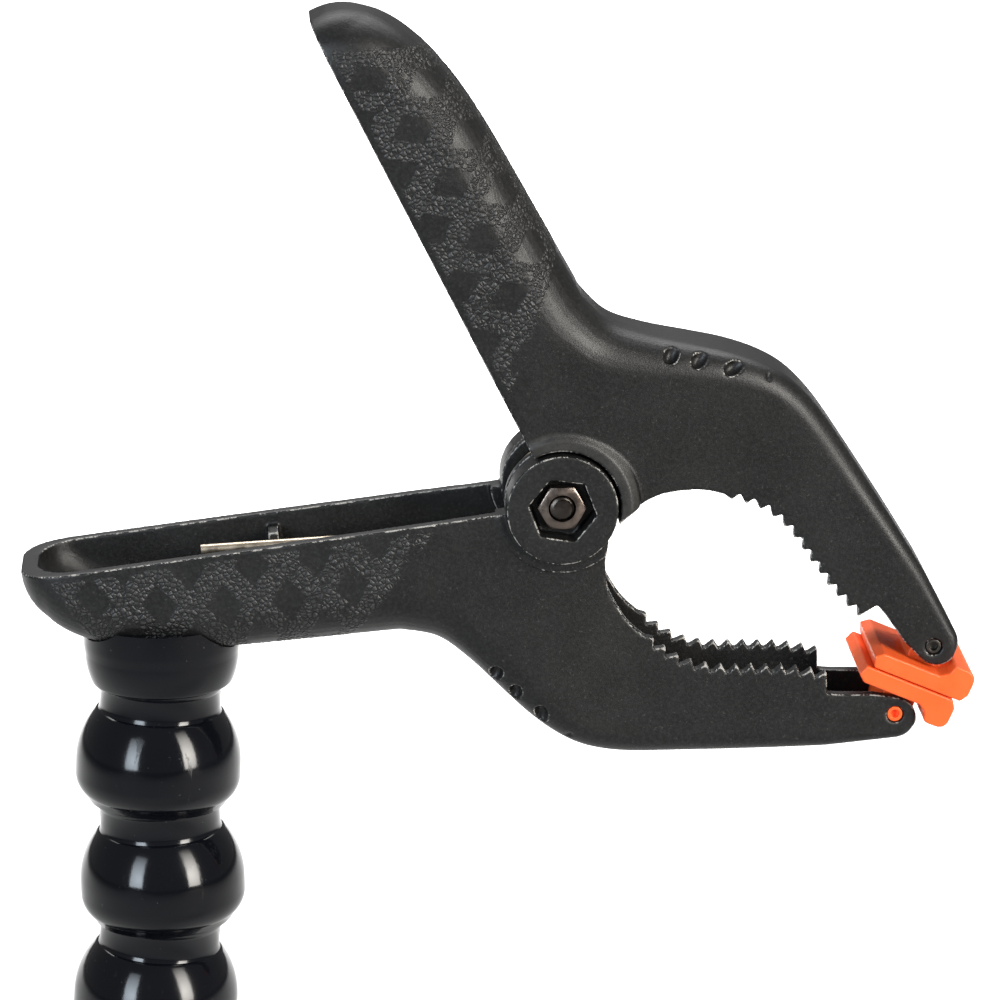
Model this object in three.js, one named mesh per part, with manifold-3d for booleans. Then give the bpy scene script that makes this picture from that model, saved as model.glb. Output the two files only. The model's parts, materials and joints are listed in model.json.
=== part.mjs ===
// A nylon spring clamp on a ball-and-socket arm: two mirrored lever arms on one pivot bolt, a torsion
// spring that closes the jaws, two swivelling pads, and four hollow arm segments above a threaded base.
// Millimetres, +Z up, +X towards the jaws, +Y away from the nut. Origin: centre of the base's underside.
import * as THREE from "three";
import { mergeVertices } from "three/addons/utils/BufferGeometryUtils.js";
import Module from "manifold-3d";

const wasm = await Module();
wasm.setup();

const GAP = 0.3; // between pieces that touch or run in each other
const DEG = Math.PI / 180;

// ---- Driving dimensions ----
// Clamp arms. The clamp frame has its origin on the pivot axis; its x axis halves the jaws' angle.
const CLAMP_TILT = 28.05 * DEG; // the jaws' centre line points down by this much
const HANDLE_ANGLE = 35.35 * DEG; // each handle's rim against the centre line
const HANDLE_LENGTH = 102.8;
const HANDLE_HALF_WIDTH = 13.8;
const HANDLE_DEPTH = 21.2; // from the rim plane to the spine, at the hub's end
const HANDLE_TAPER = 0.045; // lost per millimetre towards the tip
const HANDLE_WALL = 2.6;
const RIM_OFFSET = -0.5; // the rim plane passes this far from the pivot axis
const SPINE_TAPER_START = 60; // along the handle, where its spine starts to curve down to the tip
const PLAN_ROUND_START = 90; // and where its sides start to curve in
const HUB_START = 36; // where the handle runs into the hub
const JAW_HALF_WIDTH = 9.2;
const JAW_TIP = [77.2, 8.4];
const JAW_TIP_RADIUS = 4.2;
const TOOTH_COUNT = 12;
const TOOTH_DEPTH = 1.25;
const SPINE_WALL = 2.8;

// Pivot stack, as distances from the middle plane.
const EAR_INNER = 5.0; // the upper arm's ears
const EAR_OUTER = 7.3;
const EAR_RADIUS = 10.6;
const COLLAR_INNER_RADIUS = 11.1; // raised ring of the upper arm round the lower arm's discs
const COLLAR_BASE_RADIUS = 14.8;
const COLLAR_TOP_RADIUS = 13.2;
const COLLAR_BASE = 11.9; // where it starts to taper
const COLLAR_OUTER = 13.2;
const DISC_INNER = EAR_OUTER + GAP; // the lower arm's discs
const DISC_OUTER = 14.5;
const DISC_RADIUS = 10.5;
const DISC_STEP_RADIUS = 12.6;
const DISC_STEP_OUTER = 12.9;
const HUB_RADIUS = 17; // how far the thick hub walls reach
const HUB_OUTER = 10.6;
const RECESS_FLOOR = 9.8;
const RECESS_ACROSS_FLATS = 11.2;
const BOLT_RADIUS = 2.3;
const BOLT_HOLE_RADIUS = 2.6;
const HEX_ACROSS_FLATS = 8;
const NUT_HEIGHT = 2.7;
const BOLT_HEAD_HEIGHT = 3.4;
const NUT_TURN = 30 * DEG; // the nut and the bolt head stand with corners fore and aft
const RECESS_TURN = -11 * DEG;
const SLEEVE_RADIUS = 6.2;
const SLEEVE_HALF_LENGTH = 4.7;

// Torsion spring.
const WIRE_RADIUS = 1.0;
const COIL_RADIUS = 7.85;
const COIL_PITCH = 2.2;
const COIL_WHOLE_TURNS = 3;
const LEG_LENGTH = 69;
const LEG_DEPTH = 2.95; // the leg's end lies this deep below the rim plane
const RIB_PLACE = 55; // cross rib in each handle that the leg bears on
const RIB_THICKNESS = 2;
const GUSSET_FROM = 5.2; // the rib is taller at both sides of the leg
const GUSSET_DEPTH = 2;

// Jaw pads.
const PAD_PIN = [76.9, 7.6]; // in the clamp frame, mirrored for the lower pad
const PAD_LENGTH = 19.8;
const PAD_HALF_WIDTH = 11.8;
const PAD_BASE = 3.4;
const PAD_TOE = 6.3;
const PAD_TURN = 5 * DEG; // both pads stand turned by this against the centre line
const LUG_HALF_WIDTH = 6.1;
const LUG_RADIUS = 3.3;
const PAD_PIN_RADIUS = 1.5;

// Arm segments: each has a ball on top and a socket below.
const PITCH = 24; // from one ball's centre to the next
const BALL_RADIUS = 13.8;
const SOCKET_RADIUS = BALL_RADIUS + GAP;
const BORE_RADIUS = 8.2;
const NECK_RADIUS = 11.6;
const BULB_RADIUS = 15.9;
const BULB_DROP = 22.3; // the bulb's centre below the ball's
const BULB_STRAIGHT = 2.4; // its wall is upright for this long
const BULB_TUCK = 5.4; // and turns in on this radius
const MOUTH_DROP = 6.2; // a socket's mouth below its centre
const LIP_RADIUS = 13.15;
const SEGMENT_TILTS = [2.8, -1.2, 4.6, 0].map((a) => a * DEG); // from the clamp down
const SADDLE_RADIUS = 15.0;
const SADDLE_BOWL_RADIUS = 14.75; // about the top ball's centre
const SADDLE_DROP = 30.1; // the top ball's centre below the pivot
const ARM_AXIS_BACK = 75.8; // and behind it
const TOP_BALL_CUT = -2.9; // the top ball is cut flat here to clear the saddle's web
const BASE_BALL_HEIGHT = 22.7;
const FLANGE_RADIUS = 19;
const FLANGE_HEIGHT = 7;
const INSERT_RADIUS = 4.6;
const INSERT_HEIGHT = 9.5;
const INSERT_BORE = 3.0;

// Saddle fastening, as heights below the pivot where not a size.
const BOSS_RADIUS = 7; // flat boss inside the lower handle
const BOSS_TOP = -24.6;
const SOCKET_CEILING = -SADDLE_DROP - 1.6; // flat top of the saddle's socket
const SADDLE_TOP = -23.6; // before it is cut to the handle's round back
const SCREW_RADIUS = 2.0;
const SCREW_HEAD_RADIUS = 4.0;
const SCREW_HEAD_HEIGHT = 2.4;
const WASHER_RADIUS = 5;
const WASHER_HEIGHT = 1;
const LOCK_NUT_HEIGHT = 3.2;
const LOCK_NUT_ACROSS_FLATS = 7;

const ROUND = 28; // sides of a large round
const CORNER_STEPS = 3; // steps of a round corner
const BEYOND = 20; // reaches past everything on the pivot

// ---- Materials ----
const paint = (color, roughness, metalness = 0) =>
  new THREE.MeshStandardMaterial({ color, roughness, metalness });
const nylonBlack = paint(0x1c1c1d, 0.62);
const hoseBlack = paint(0x0c0e12, 0.22);
const padOrange = paint(0xf4511c, 0.45);
const steel = paint(0x8f877c, 0.35, 1);
const springSteel = paint(0xa3947c, 0.4, 1);
const darkSteel = paint(0x2c2a28, 0.45, 1);
const brass = paint(0xb99a52, 0.35, 1);

// ---- Solids ----
function solid(geometry) {
  const bare = geometry.clone();
  bare.deleteAttribute("normal");
  bare.deleteAttribute("uv");
  const merged = mergeVertices(bare, 1e-4);
  const triVerts = new Uint32Array(merged.index.array);
  const vertProperties = merged.attributes.position.array;
  return new wasm.Manifold(new wasm.Mesh({ numProp: 3, vertProperties, triVerts }));
}

function geometryOf(body) {
  const { vertProperties, triVerts } = body.getMesh();
  const geometry = new THREE.BufferGeometry();
  geometry.setAttribute("position", new THREE.BufferAttribute(vertProperties, 3));
  geometry.setIndex(new THREE.BufferAttribute(triVerts, 1));
  geometry.computeVertexNormals();
  return geometry;
}

function piece(name, shape, material) {
  const geometry = shape.isBufferGeometry ? shape : geometryOf(shape);
  const mesh = new THREE.Mesh(geometry, material);
  mesh.name = name;
  return mesh;
}

// A cylinder along Y between two depths.
function rod(radius, from, to, sides = ROUND) {
  const geometry = new THREE.CylinderGeometry(radius, radius, Math.abs(to - from), sides);
  return solid(geometry.translate(0, (from + to) / 2, 0));
}

// The same cylinder on both sides of the middle plane.
function rodPair(radius, inner, outer, sides = ROUND) {
  return rod(radius, inner, outer, sides).add(rod(radius, -outer, -inner, sides));
}

// A cone's frustum on both sides of the middle plane, by its radii at the inner and outer depth.
function taperedPair(innerRadius, outerRadius, inner, outer) {
  const geometry = new THREE.CylinderGeometry(outerRadius, innerRadius, outer - inner, ROUND);
  geometry.translate(0, (inner + outer) / 2, 0);
  return solid(geometry.clone()).add(solid(geometry.rotateX(Math.PI)));
}

// An outline in the XZ plane, extruded along Y between two depths.
function plate(points, from, to) {
  const shape = new THREE.Shape(points.map(([x, z]) => new THREE.Vector2(x, z)));
  const geometry = new THREE.ExtrudeGeometry(shape, { depth: to - from, bevelEnabled: false });
  return solid(geometry.rotateX(Math.PI / 2).translate(0, to, 0));
}

const hexagonRadius = (acrossFlats) => acrossFlats / 2 / Math.cos(30 * DEG);

// A hexagonal prism along Y.
function hexagon(acrossFlats, turn, from, to) {
  const radius = hexagonRadius(acrossFlats);
  const geometry = new THREE.CylinderGeometry(radius, radius, to - from, 6);
  return solid(geometry.translate(0, (from + to) / 2, 0).rotateY(turn));
}

// The geometry turned over in the clamp frame, with its faces still pointing out.
function turnedOver(geometry) {
  const flipped = geometry.scale(1, 1, -1);
  const index = flipped.index.array;
  for (let i = 0; i < index.length; i += 3)
    [index[i + 1], index[i + 2]] = [index[i + 2], index[i + 1]];
  return flipped;
}

// A round body about Z from [radius, height] points that close on themselves.
function turned(profile, sides = ROUND) {
  const points = [...profile, profile[0]].map(([r, z]) => new THREE.Vector2(r, z));
  if (THREE.ShapeUtils.area(points) < 0) points.reverse();
  const geometry = new THREE.LatheGeometry(points, sides).rotateX(Math.PI / 2);
  return solid(geometry);
}

// Points on a circle in a (radius, height) plane, by angle above the horizontal.
function arc(radius, centreHeight, from, to, steps) {
  return Array.from({ length: steps + 1 }, (_, i) => {
    const angle = from + ((to - from) * i) / steps;
    return [radius * Math.cos(angle), centreHeight + radius * Math.sin(angle)];
  });
}

// A solid through rings of equally many points, with flat ends.
function loft(rings) {
  const count = rings[0].length;
  const positions = rings.flat().flatMap((p) => [p.x, p.y, p.z]);
  const index = [];
  for (let i = 0; i + 1 < rings.length; i++)
    for (let j = 0; j < count; j++) {
      const a = i * count + j;
      const b = i * count + ((j + 1) % count);
      index.push(a, b, b + count, a, b + count, a + count);
    }
  const last = (rings.length - 1) * count;
  for (let j = 1; j + 1 < count; j++) {
    index.push(0, j + 1, j);
    index.push(last, last + j, last + j + 1);
  }
  const geometry = new THREE.BufferGeometry();
  geometry.setAttribute("position", new THREE.Float32BufferAttribute(positions, 3));
  geometry.setIndex(index);
  return solid(geometry);
}

// ---- The arm's outline, in the clamp frame ----
// A point of the handle, from its distance along the rim and its depth behind the rim plane.
function onHandle(along, depth) {
  const c = Math.cos(HANDLE_ANGLE);
  const s = Math.sin(HANDLE_ANGLE);
  return [-along * c + depth * s, along * s + depth * c];
}

// The spine nears the rim slowly, then falls to the tip on a flattened ellipse.
function spineDepth(along) {
  const u = Math.max(0, (along - SPINE_TAPER_START) / (HANDLE_LENGTH + 0.2 - SPINE_TAPER_START));
  const depth = HANDLE_DEPTH - HANDLE_TAPER * Math.max(0, along - HUB_START);
  return depth * Math.pow(1 - Math.pow(u, 3), 1 / 2.2);
}

function planHalfWidth(along, halfWidth, tip) {
  const u = Math.min(1, Math.max(0, (along - PLAN_ROUND_START) / (tip - PLAN_ROUND_START)));
  return halfWidth * Math.pow(1 - u * u * u, 1 / 3);
}

const smooth = (points, steps) =>
  new THREE.SplineCurve(points.map(([x, z]) => new THREE.Vector2(x, z)))
    .getPoints(steps)
    .map((p) => [p.x, p.y]);

const HANDLE_STEPS = [102.8, 102.2, 100.8, 98.5, 95, 90, 84, 76, 66, 54, 42, HUB_START];
const SHOULDER = [
  [-14.9, 36.6],
  [-8, 34.6],
  [0, 35.8],
  [8, 38.1],
  [15, 40],
  [22, 41],
  [28, 40.6],
  [35, 38.2],
  [44, 33.5],
  [56, 26.8],
  [68, 19.8],
];
const THROAT = [
  [26.6, 15.8],
  [21.6, 14.3],
  [15.6, 10.3],
  [12.4, 5.4],
  [10.9, 1.6],
];
const TEETH_LINE = [
  [61, 6.1],
  [54.5, 8.2],
  [47.5, 11.6],
  [41, 14.8],
  [35, 16.2],
  [28.4, 15.4],
];

// Tooth points along the line: a valley after each peak, cut square to the line.
function toothedEdge() {
  const line = new THREE.SplineCurve(TEETH_LINE.map(([x, z]) => new THREE.Vector2(x, z)));
  const points = [];
  for (let i = 0; i <= TOOTH_COUNT; i++) {
    const peak = line.getPointAt(i / TOOTH_COUNT);
    points.push([peak.x, peak.y]);
    if (i === TOOTH_COUNT) break;
    const middle = (i + 0.62) / TOOTH_COUNT;
    const valley = line.getPointAt(middle);
    const along = line.getTangentAt(middle);
    points.push([valley.x + along.y * TOOTH_DEPTH, valley.y - along.x * TOOTH_DEPTH]);
  }
  return points;
}

function sideOutline() {
  const handleSpine = HANDLE_STEPS.map((s) => onHandle(s, spineDepth(s)));
  const tipArc = arc(JAW_TIP_RADIUS, JAW_TIP[1], 60 * DEG, -105 * DEG, 8);
  return [
    onHandle(HANDLE_LENGTH, RIM_OFFSET),
    ...handleSpine,
    ...smooth(SHOULDER, 18),
    ...tipArc.map(([x, z]) => [x + JAW_TIP[0], z]),
    [71.4, 5.9],
    [65.6, 8.9],
    [63.2, 9.9],
    ...toothedEdge(),
    ...smooth(THROAT, 7),
    [0, RIM_OFFSET],
  ];
}

// ---- The arm's cross sections, from the handle's tip to the jaw's ----
// Each station has a point inside the rim, a point on the spine, a half width and a corner radius.
const HUB_STATIONS = [
  { inner: onHandle(27, 0), outer: onHandle(33, 21.3), half: 13.3, corner: 9 },
  { inner: onHandle(18, 0), outer: [-12, 35.4], half: 12.9, corner: 8.5 },
  { inner: onHandle(9, 0), outer: [-5, 34.8], half: 12.5, corner: 8 },
  { inner: [0, 0], outer: [3, 36.6], half: 12.1, corner: 7 },
  { inner: [7, 1], outer: [11.5, 39.1], half: 11.6, corner: 6 },
  { inner: [12.5, 6], outer: [19.5, 40.8], half: 10.9, corner: 5 },
  { inner: [18.5, 12], outer: [27, 40.9], half: 10.1, corner: 4.4 },
  { inner: [25, 15.5], outer: [34, 38.7], half: 9.5, corner: 4 },
  { inner: [33, 16], outer: [42, 34.6], half: JAW_HALF_WIDTH, corner: 3.8 },
  { inner: [44, 13], outer: [53, 28.5], half: JAW_HALF_WIDTH, corner: 3.4 },
  { inner: [54, 7.5], outer: [62, 23.4], half: JAW_HALF_WIDTH, corner: 2.8 },
  { inner: [64, 3], outer: [71, 18], half: JAW_HALF_WIDTH, corner: 2.2 },
  { inner: [72, 0], outer: [78.6, 13.4], half: JAW_HALF_WIDTH, corner: 1.8, wall: 1.4 },
  { inner: [76, -2], outer: [82.8, 9.5], half: JAW_HALF_WIDTH, corner: 1.6, wall: 1.4 },
];

function stations(tip) {
  const handle = HANDLE_STEPS.map((s) => {
    const along = Math.min(s, tip);
    return {
      inner: onHandle(along, 0),
      outer: onHandle(along, spineDepth((along * HANDLE_LENGTH) / tip)),
      half: planHalfWidth(along, HANDLE_HALF_WIDTH - (s < 60 ? (60 - s) / 60 : 0), tip + 0.3),
      corner: 9.5,
    };
  });
  return [...handle, ...HUB_STATIONS];
}

// A ring with straight sides and round corners at the spine. It reaches past the rim by `past`.
function section({ inner, outer, half, corner }, inset, spineInset, past) {
  const dx = outer[0] - inner[0];
  const dz = outer[1] - inner[1];
  const depth = Math.hypot(dx, dz);
  const top = Math.max(0.6, depth - spineInset);
  const width = Math.max(0.5, half - inset);
  const radius = Math.max(0.4, Math.min(corner - inset / 2, width - 0.1, top - 0.1));
  const at = (y, t) =>
    new THREE.Vector3(inner[0] + (dx / depth) * t, y, inner[1] + (dz / depth) * t);
  const ring = [at(width, -past)];
  for (const side of [1, -1])
    for (let i = 0; i <= CORNER_STEPS; i++) {
      const angle = ((side > 0 ? i : CORNER_STEPS - i) / CORNER_STEPS) * 90 * DEG;
      const y = side * (width - radius + radius * Math.cos(angle));
      ring.push(at(y, top - radius + radius * Math.sin(angle)));
    }
  ring.push(at(-width, -past));
  return ring;
}

function armEnvelope(grow = 0) {
  return loft(stations(HANDLE_LENGTH).map((s) => section(s, -grow, -grow, 5)));
}

function armCavity() {
  const hollow = stations(HANDLE_LENGTH - 3.2);
  return loft(hollow.map((s) => section(s, HANDLE_WALL, s.wall ?? SPINE_WALL, 9)));
}

// The spring's legs leave the coil on the spine's side and slope towards the rim.
const legDepth = (along) => COIL_RADIUS - ((COIL_RADIUS - LEG_DEPTH) * along) / LEG_LENGTH;

// The cross rib that the spring's leg bears on, with a taller gusset at each side of the leg.
function springRib(outline) {
  const thick = RIB_THICKNESS / 2;
  const cornersFrom = (top) => [
    onHandle(RIB_PLACE - thick, top),
    onHandle(RIB_PLACE + thick, top),
    onHandle(RIB_PLACE + thick, HANDLE_DEPTH - 1),
    onHandle(RIB_PLACE - thick, HANDLE_DEPTH - 1),
  ];
  const width = HANDLE_HALF_WIDTH - HANDLE_WALL / 2;
  const seat = cornersFrom(legDepth(RIB_PLACE - thick) + WIRE_RADIUS + GAP);
  const gusset = cornersFrom(GUSSET_DEPTH);
  return plate(seat, -width, width)
    .add(plate(gusset, GUSSET_FROM, width))
    .add(plate(gusset, -width, -GUSSET_FROM))
    .intersect(outline)
    .intersect(armEnvelope(-1));
}

function shell() {
  const outline = plate(sideOutline(), -BEYOND, BEYOND);
  const walls = outline.intersect(armEnvelope()).subtract(armCavity());
  const pinHole = rod(PAD_PIN_RADIUS + GAP / 2, -BEYOND, BEYOND, 16);
  const at = [PAD_PIN[0], 0, PAD_PIN[1]];
  return { outline, body: walls.add(springRib(outline)).subtract(pinHole.translate(at)) };
}

const boltHole = () => rod(BOLT_HOLE_RADIUS, -BEYOND, BEYOND, 24);

// Upper arm: ears inside the lower arm's discs, and a raised collar round them.
function upperArm() {
  const { outline, body } = shell();
  const hub = rodPair(HUB_RADIUS, EAR_INNER, HUB_OUTER).intersect(outline);
  const cone = taperedPair(COLLAR_BASE_RADIUS, COLLAR_TOP_RADIUS, COLLAR_BASE, COLLAR_OUTER);
  const ring = rodPair(COLLAR_BASE_RADIUS, EAR_INNER, COLLAR_BASE).add(cone);
  const collar = ring.intersect(outline);
  const pocket = rodPair(COLLAR_INNER_RADIUS, EAR_OUTER, BEYOND);
  return body
    .add(hub)
    .add(collar)
    .subtract(pocket)
    .add(rodPair(EAR_RADIUS, EAR_INNER, EAR_OUTER))
    .subtract(boltHole());
}

// Lower arm, drawn the same way up as the upper one: discs with hexagonal recesses outside the ears,
// and a flat boss inside the handle under the saddle's nut.
function lowerArm() {
  const { outline, body } = shell();
  const hub = rodPair(DISC_STEP_RADIUS, DISC_INNER, DISC_STEP_OUTER).intersect(outline);
  const clearance = rod(EAR_RADIUS + GAP, -DISC_INNER, DISC_INNER);
  const recess = (from, to) => hexagon(RECESS_ACROSS_FLATS, RECESS_TURN, from, to);
  const arm = body
    .add(hub)
    .subtract(clearance)
    .add(rodPair(DISC_RADIUS, DISC_INNER, DISC_OUTER))
    .subtract(recess(RECESS_FLOOR, BEYOND))
    .subtract(recess(-BEYOND, -RECESS_FLOOR))
    .subtract(boltHole());
  return arm.add(saddleBoss().intersect(armEnvelope(-1))).subtract(saddleScrewHole());
}

// ---- Saddle fastening, drawn upright in the pivot's frame and turned into the clamp frame ----
// A cylinder about the arm's axis, by heights below the pivot.
function post(radius, from, to, sides = 24) {
  const geometry = new THREE.CylinderGeometry(radius, radius, to - from, sides);
  return solid(geometry.rotateX(Math.PI / 2).translate(-ARM_AXIS_BACK, 0, (from + to) / 2));
}

// Moves an upright solid into the lower arm's drawing, which is the clamp frame turned over.
function intoLowerArm(body) {
  return solid(turnedOver(geometryOf(body).rotateY(-CLAMP_TILT)));
}

const saddleBoss = () => intoLowerArm(post(BOSS_RADIUS, -SADDLE_DROP, BOSS_TOP));
const screwHole = () => post(SCREW_RADIUS + GAP, -SADDLE_DROP, 0, 16);
const saddleScrewHole = () => intoLowerArm(screwHole());

function saddleSocket() {
  const centre = -SADDLE_DROP;
  const mouth = Math.asin(MOUTH_DROP / SOCKET_RADIUS);
  const top = Math.asin((SOCKET_CEILING - centre) / SOCKET_RADIUS);
  const cup = turned([
    [SCREW_RADIUS + GAP, SADDLE_TOP],
    [SCREW_RADIUS + GAP, SOCKET_CEILING],
    ...arc(SOCKET_RADIUS, centre, top, -mouth, 5),
    ...arc(SADDLE_BOWL_RADIUS, centre, -Math.asin(MOUTH_DROP / SADDLE_BOWL_RADIUS), 0, 4),
    [SADDLE_RADIUS, centre + 2],
    [SADDLE_RADIUS, SADDLE_TOP],
  ]);
  const moved = cup.translate([-ARM_AXIS_BACK, 0, 0]);
  const handle = turnedOver(geometryOf(armEnvelope(GAP)));
  const rounded = moved.subtract(solid(handle.rotateY(CLAMP_TILT)));
  return rounded.decompose().sort((a, b) => b.volume() - a.volume())[0];
}

function saddleScrew() {
  const seat = SOCKET_CEILING - GAP;
  const end = BOSS_TOP + 3 * GAP + WASHER_HEIGHT + LOCK_NUT_HEIGHT + 1;
  const head = post(SCREW_HEAD_RADIUS, seat - SCREW_HEAD_HEIGHT, seat);
  return head.add(post(SCREW_RADIUS, seat - 1, end, 16));
}

function saddleWasher() {
  const bottom = BOSS_TOP + GAP;
  return post(WASHER_RADIUS, bottom, bottom + WASHER_HEIGHT).subtract(screwHole());
}

function saddleNut() {
  const bottom = BOSS_TOP + 2 * GAP + WASHER_HEIGHT;
  const radius = hexagonRadius(LOCK_NUT_ACROSS_FLATS);
  return post(radius, bottom, bottom + LOCK_NUT_HEIGHT, 6).subtract(screwHole());
}

// ---- Pivot hardware ----
function pivotBolt() {
  const seat = RECESS_FLOOR + GAP;
  const head = hexagon(HEX_ACROSS_FLATS, NUT_TURN, seat, seat + BOLT_HEAD_HEIGHT);
  return rod(BOLT_RADIUS, -seat - NUT_HEIGHT - 0.4, seat + 1, 24).add(head);
}

function pivotNut() {
  const seat = RECESS_FLOOR + GAP;
  return hexagon(HEX_ACROSS_FLATS, NUT_TURN, -seat - NUT_HEIGHT, -seat).subtract(boltHole());
}

function pivotSleeve() {
  const tube = rod(SLEEVE_RADIUS, -SLEEVE_HALF_LENGTH, SLEEVE_HALF_LENGTH, 24);
  return tube.subtract(boltHole());
}

// ---- Torsion spring: a leg along each handle, joined by the coil ----
class SpringPath extends THREE.Curve {
  constructor() {
    super();
    const start = onHandle(0, COIL_RADIUS);
    this.startAngle = Math.atan2(start[1], start[0]);
    this.sweep = 2 * this.startAngle + COIL_WHOLE_TURNS * 2 * Math.PI;
    this.coilLength = this.sweep * COIL_RADIUS;
    this.total = this.coilLength + 2 * LEG_LENGTH;
  }

  // The wire at a distance along it, from the lower leg's end to the upper leg's end.
  at(distance) {
    const half = ((COIL_PITCH / 2) * this.sweep) / (2 * Math.PI);
    if (distance < LEG_LENGTH) {
      const [x, z] = this.leg(LEG_LENGTH - distance);
      return new THREE.Vector3(x, half, -z);
    }
    if (distance > LEG_LENGTH + this.coilLength) {
      const [x, z] = this.leg(distance - LEG_LENGTH - this.coilLength);
      return new THREE.Vector3(x, -half, z);
    }
    const turn = (distance - LEG_LENGTH) / this.coilLength;
    const angle = -this.startAngle + turn * this.sweep;
    const y = half * (1 - 2 * turn);
    return new THREE.Vector3(COIL_RADIUS * Math.cos(angle), y, COIL_RADIUS * Math.sin(angle));
  }

  leg(distance) {
    return onHandle(distance, legDepth(distance));
  }

  getPoint(t) {
    return this.at(t * this.total);
  }
}

function torsionSpring() {
  const wire = new THREE.Shape();
  wire.absarc(0, 0, WIRE_RADIUS, 0, 2 * Math.PI);
  const geometry = new THREE.ExtrudeGeometry(wire, {
    extrudePath: new SpringPath(),
    steps: 84,
    curveSegments: 3,
    bevelEnabled: false,
  });
  return solid(geometry);
}

// ---- Jaw pads ----
// Drawn about the pin, with the gripping face up and the outer end towards +x.
function jawPad() {
  const face = PAD_PIN[1] - GAP / 2;
  const back = -PAD_LENGTH * 0.52;
  const front = back + PAD_LENGTH;
  const level = PAD_PIN[1] - PAD_BASE;
  const toe = PAD_PIN[1] - PAD_TOE;
  const outline = [
    [back, level + 1.2],
    [back + 1.5, level],
    [front - 6.6, level],
    [front - 5.2, level - 1],
    [front - 4.5, toe + 0.5],
    [front - 3.6, toe],
    [front - 1.9, toe],
    [front - 0.6, toe + 0.8],
    [front, toe + 2.4],
    [front, face - 1.6],
    [front - 1, face],
    [back + 0.8, face],
  ];
  const web = [
    [-LUG_RADIUS, 0],
    [LUG_RADIUS, 0],
    [LUG_RADIUS, level + 0.5],
    [-LUG_RADIUS, level + 0.5],
  ];
  return plate(outline, -PAD_HALF_WIDTH, PAD_HALF_WIDTH)
    .add(plate(web, -LUG_HALF_WIDTH, LUG_HALF_WIDTH))
    .add(rod(LUG_RADIUS, -LUG_HALF_WIDTH, LUG_HALF_WIDTH, 20))
    .subtract(rod(PAD_PIN_RADIUS + GAP / 2, -BEYOND, BEYOND, 16));
}

const padPin = () => rod(PAD_PIN_RADIUS, -JAW_HALF_WIDTH + 0.4, JAW_HALF_WIDTH - 0.4, 16);

// ---- Arm segments ----
function ballProfile(cut) {
  const top = cut ?? Math.sqrt(BALL_RADIUS ** 2 - (BORE_RADIUS + 1) ** 2);
  const neck = -Math.acos(NECK_RADIUS / BALL_RADIUS);
  return [
    [BORE_RADIUS, top],
    ...arc(BALL_RADIUS, 0, Math.asin(top / BALL_RADIUS), neck, 5),
  ];
}

// The bore ends in the socket's sphere, where the next ball turns.
function armSegment(cut) {
  const mouth = -Math.asin(MOUTH_DROP / SOCKET_RADIUS);
  const ceiling = Math.acos(BORE_RADIUS / SOCKET_RADIUS);
  const tuck = arc(BULB_TUCK, -BULB_DROP - BULB_STRAIGHT, 0, -50 * DEG, 3);
  return turned([
    ...ballProfile(cut),
    [NECK_RADIUS, -10.9],
    ...arc(BULB_RADIUS, -BULB_DROP, 40 * DEG, 0, 4),
    ...tuck.map(([r, z]) => [r + BULB_RADIUS - BULB_TUCK, z]),
    [LIP_RADIUS, -PITCH - MOUTH_DROP],
    ...arc(SOCKET_RADIUS, -PITCH, mouth, ceiling, 5),
  ]);
}

function baseFitting() {
  const floor = -BASE_BALL_HEIGHT;
  return turned([
    ...ballProfile(),
    [NECK_RADIUS, -10.9],
    [NECK_RADIUS + 1, -12],
    [FLANGE_RADIUS - 2, floor + FLANGE_HEIGHT + 1],
    [FLANGE_RADIUS, floor + FLANGE_HEIGHT - 1],
    [FLANGE_RADIUS, floor + 1],
    [FLANGE_RADIUS - 1, floor],
    [INSERT_RADIUS + GAP, floor],
    [INSERT_RADIUS + GAP, floor + INSERT_HEIGHT + GAP],
    [BORE_RADIUS, floor + INSERT_HEIGHT + 3],
  ]);
}

function baseInsert() {
  return turned(
    [
      [INSERT_BORE, GAP],
      [INSERT_RADIUS, GAP],
      [INSERT_RADIUS, INSERT_HEIGHT],
      [INSERT_BORE, INSERT_HEIGHT],
    ],
    24,
  );
}

// ---- Assembly ----
const object = new THREE.Group();

// The arm hangs from the top ball; each segment's ball sits in the socket of the one above.
const balls = [new THREE.Vector2(0, 0)];
for (const tilt of SEGMENT_TILTS) {
  const drop = new THREE.Vector2(-PITCH * Math.sin(tilt), -PITCH * Math.cos(tilt));
  balls.push(balls.at(-1).clone().add(drop));
}
const baseBall = balls.at(-1);
const raise = (point) => [point.x - baseBall.x, 0, point.y - baseBall.y + BASE_BALL_HEIGHT];

SEGMENT_TILTS.forEach((tilt, i) => {
  const shape = armSegment(i === 0 ? TOP_BALL_CUT : undefined);
  const segment = piece(`arm_segment_${i + 1}`, shape, hoseBlack);
  segment.position.set(...raise(balls[i]));
  segment.rotation.y = tilt;
  object.add(segment);
});

const base = piece("base_fitting", baseFitting(), hoseBlack);
base.position.z = BASE_BALL_HEIGHT;
object.add(base, piece("base_insert", baseInsert(), brass));

// Everything on the clamp is placed from the pivot.
const pivot = new THREE.Group();
const topBall = raise(balls[0]);
pivot.position.set(topBall[0] + ARM_AXIS_BACK, 0, topBall[2] + SADDLE_DROP);
object.add(pivot);
pivot.add(
  piece("saddle_socket", saddleSocket(), hoseBlack),
  piece("saddle_screw", saddleScrew(), steel),
  piece("saddle_washer", saddleWasher(), steel),
  piece("saddle_nut", saddleNut(), steel),
  piece("pivot_bolt", pivotBolt(), steel),
  piece("pivot_nut", pivotNut(), steel),
  piece("pivot_sleeve", pivotSleeve(), darkSteel),
);

const clamp = new THREE.Group();
clamp.rotation.y = CLAMP_TILT;
pivot.add(clamp);
clamp.add(piece("upper_arm", upperArm(), nylonBlack));
clamp.add(piece("torsion_spring", torsionSpring(), springSteel));

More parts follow.
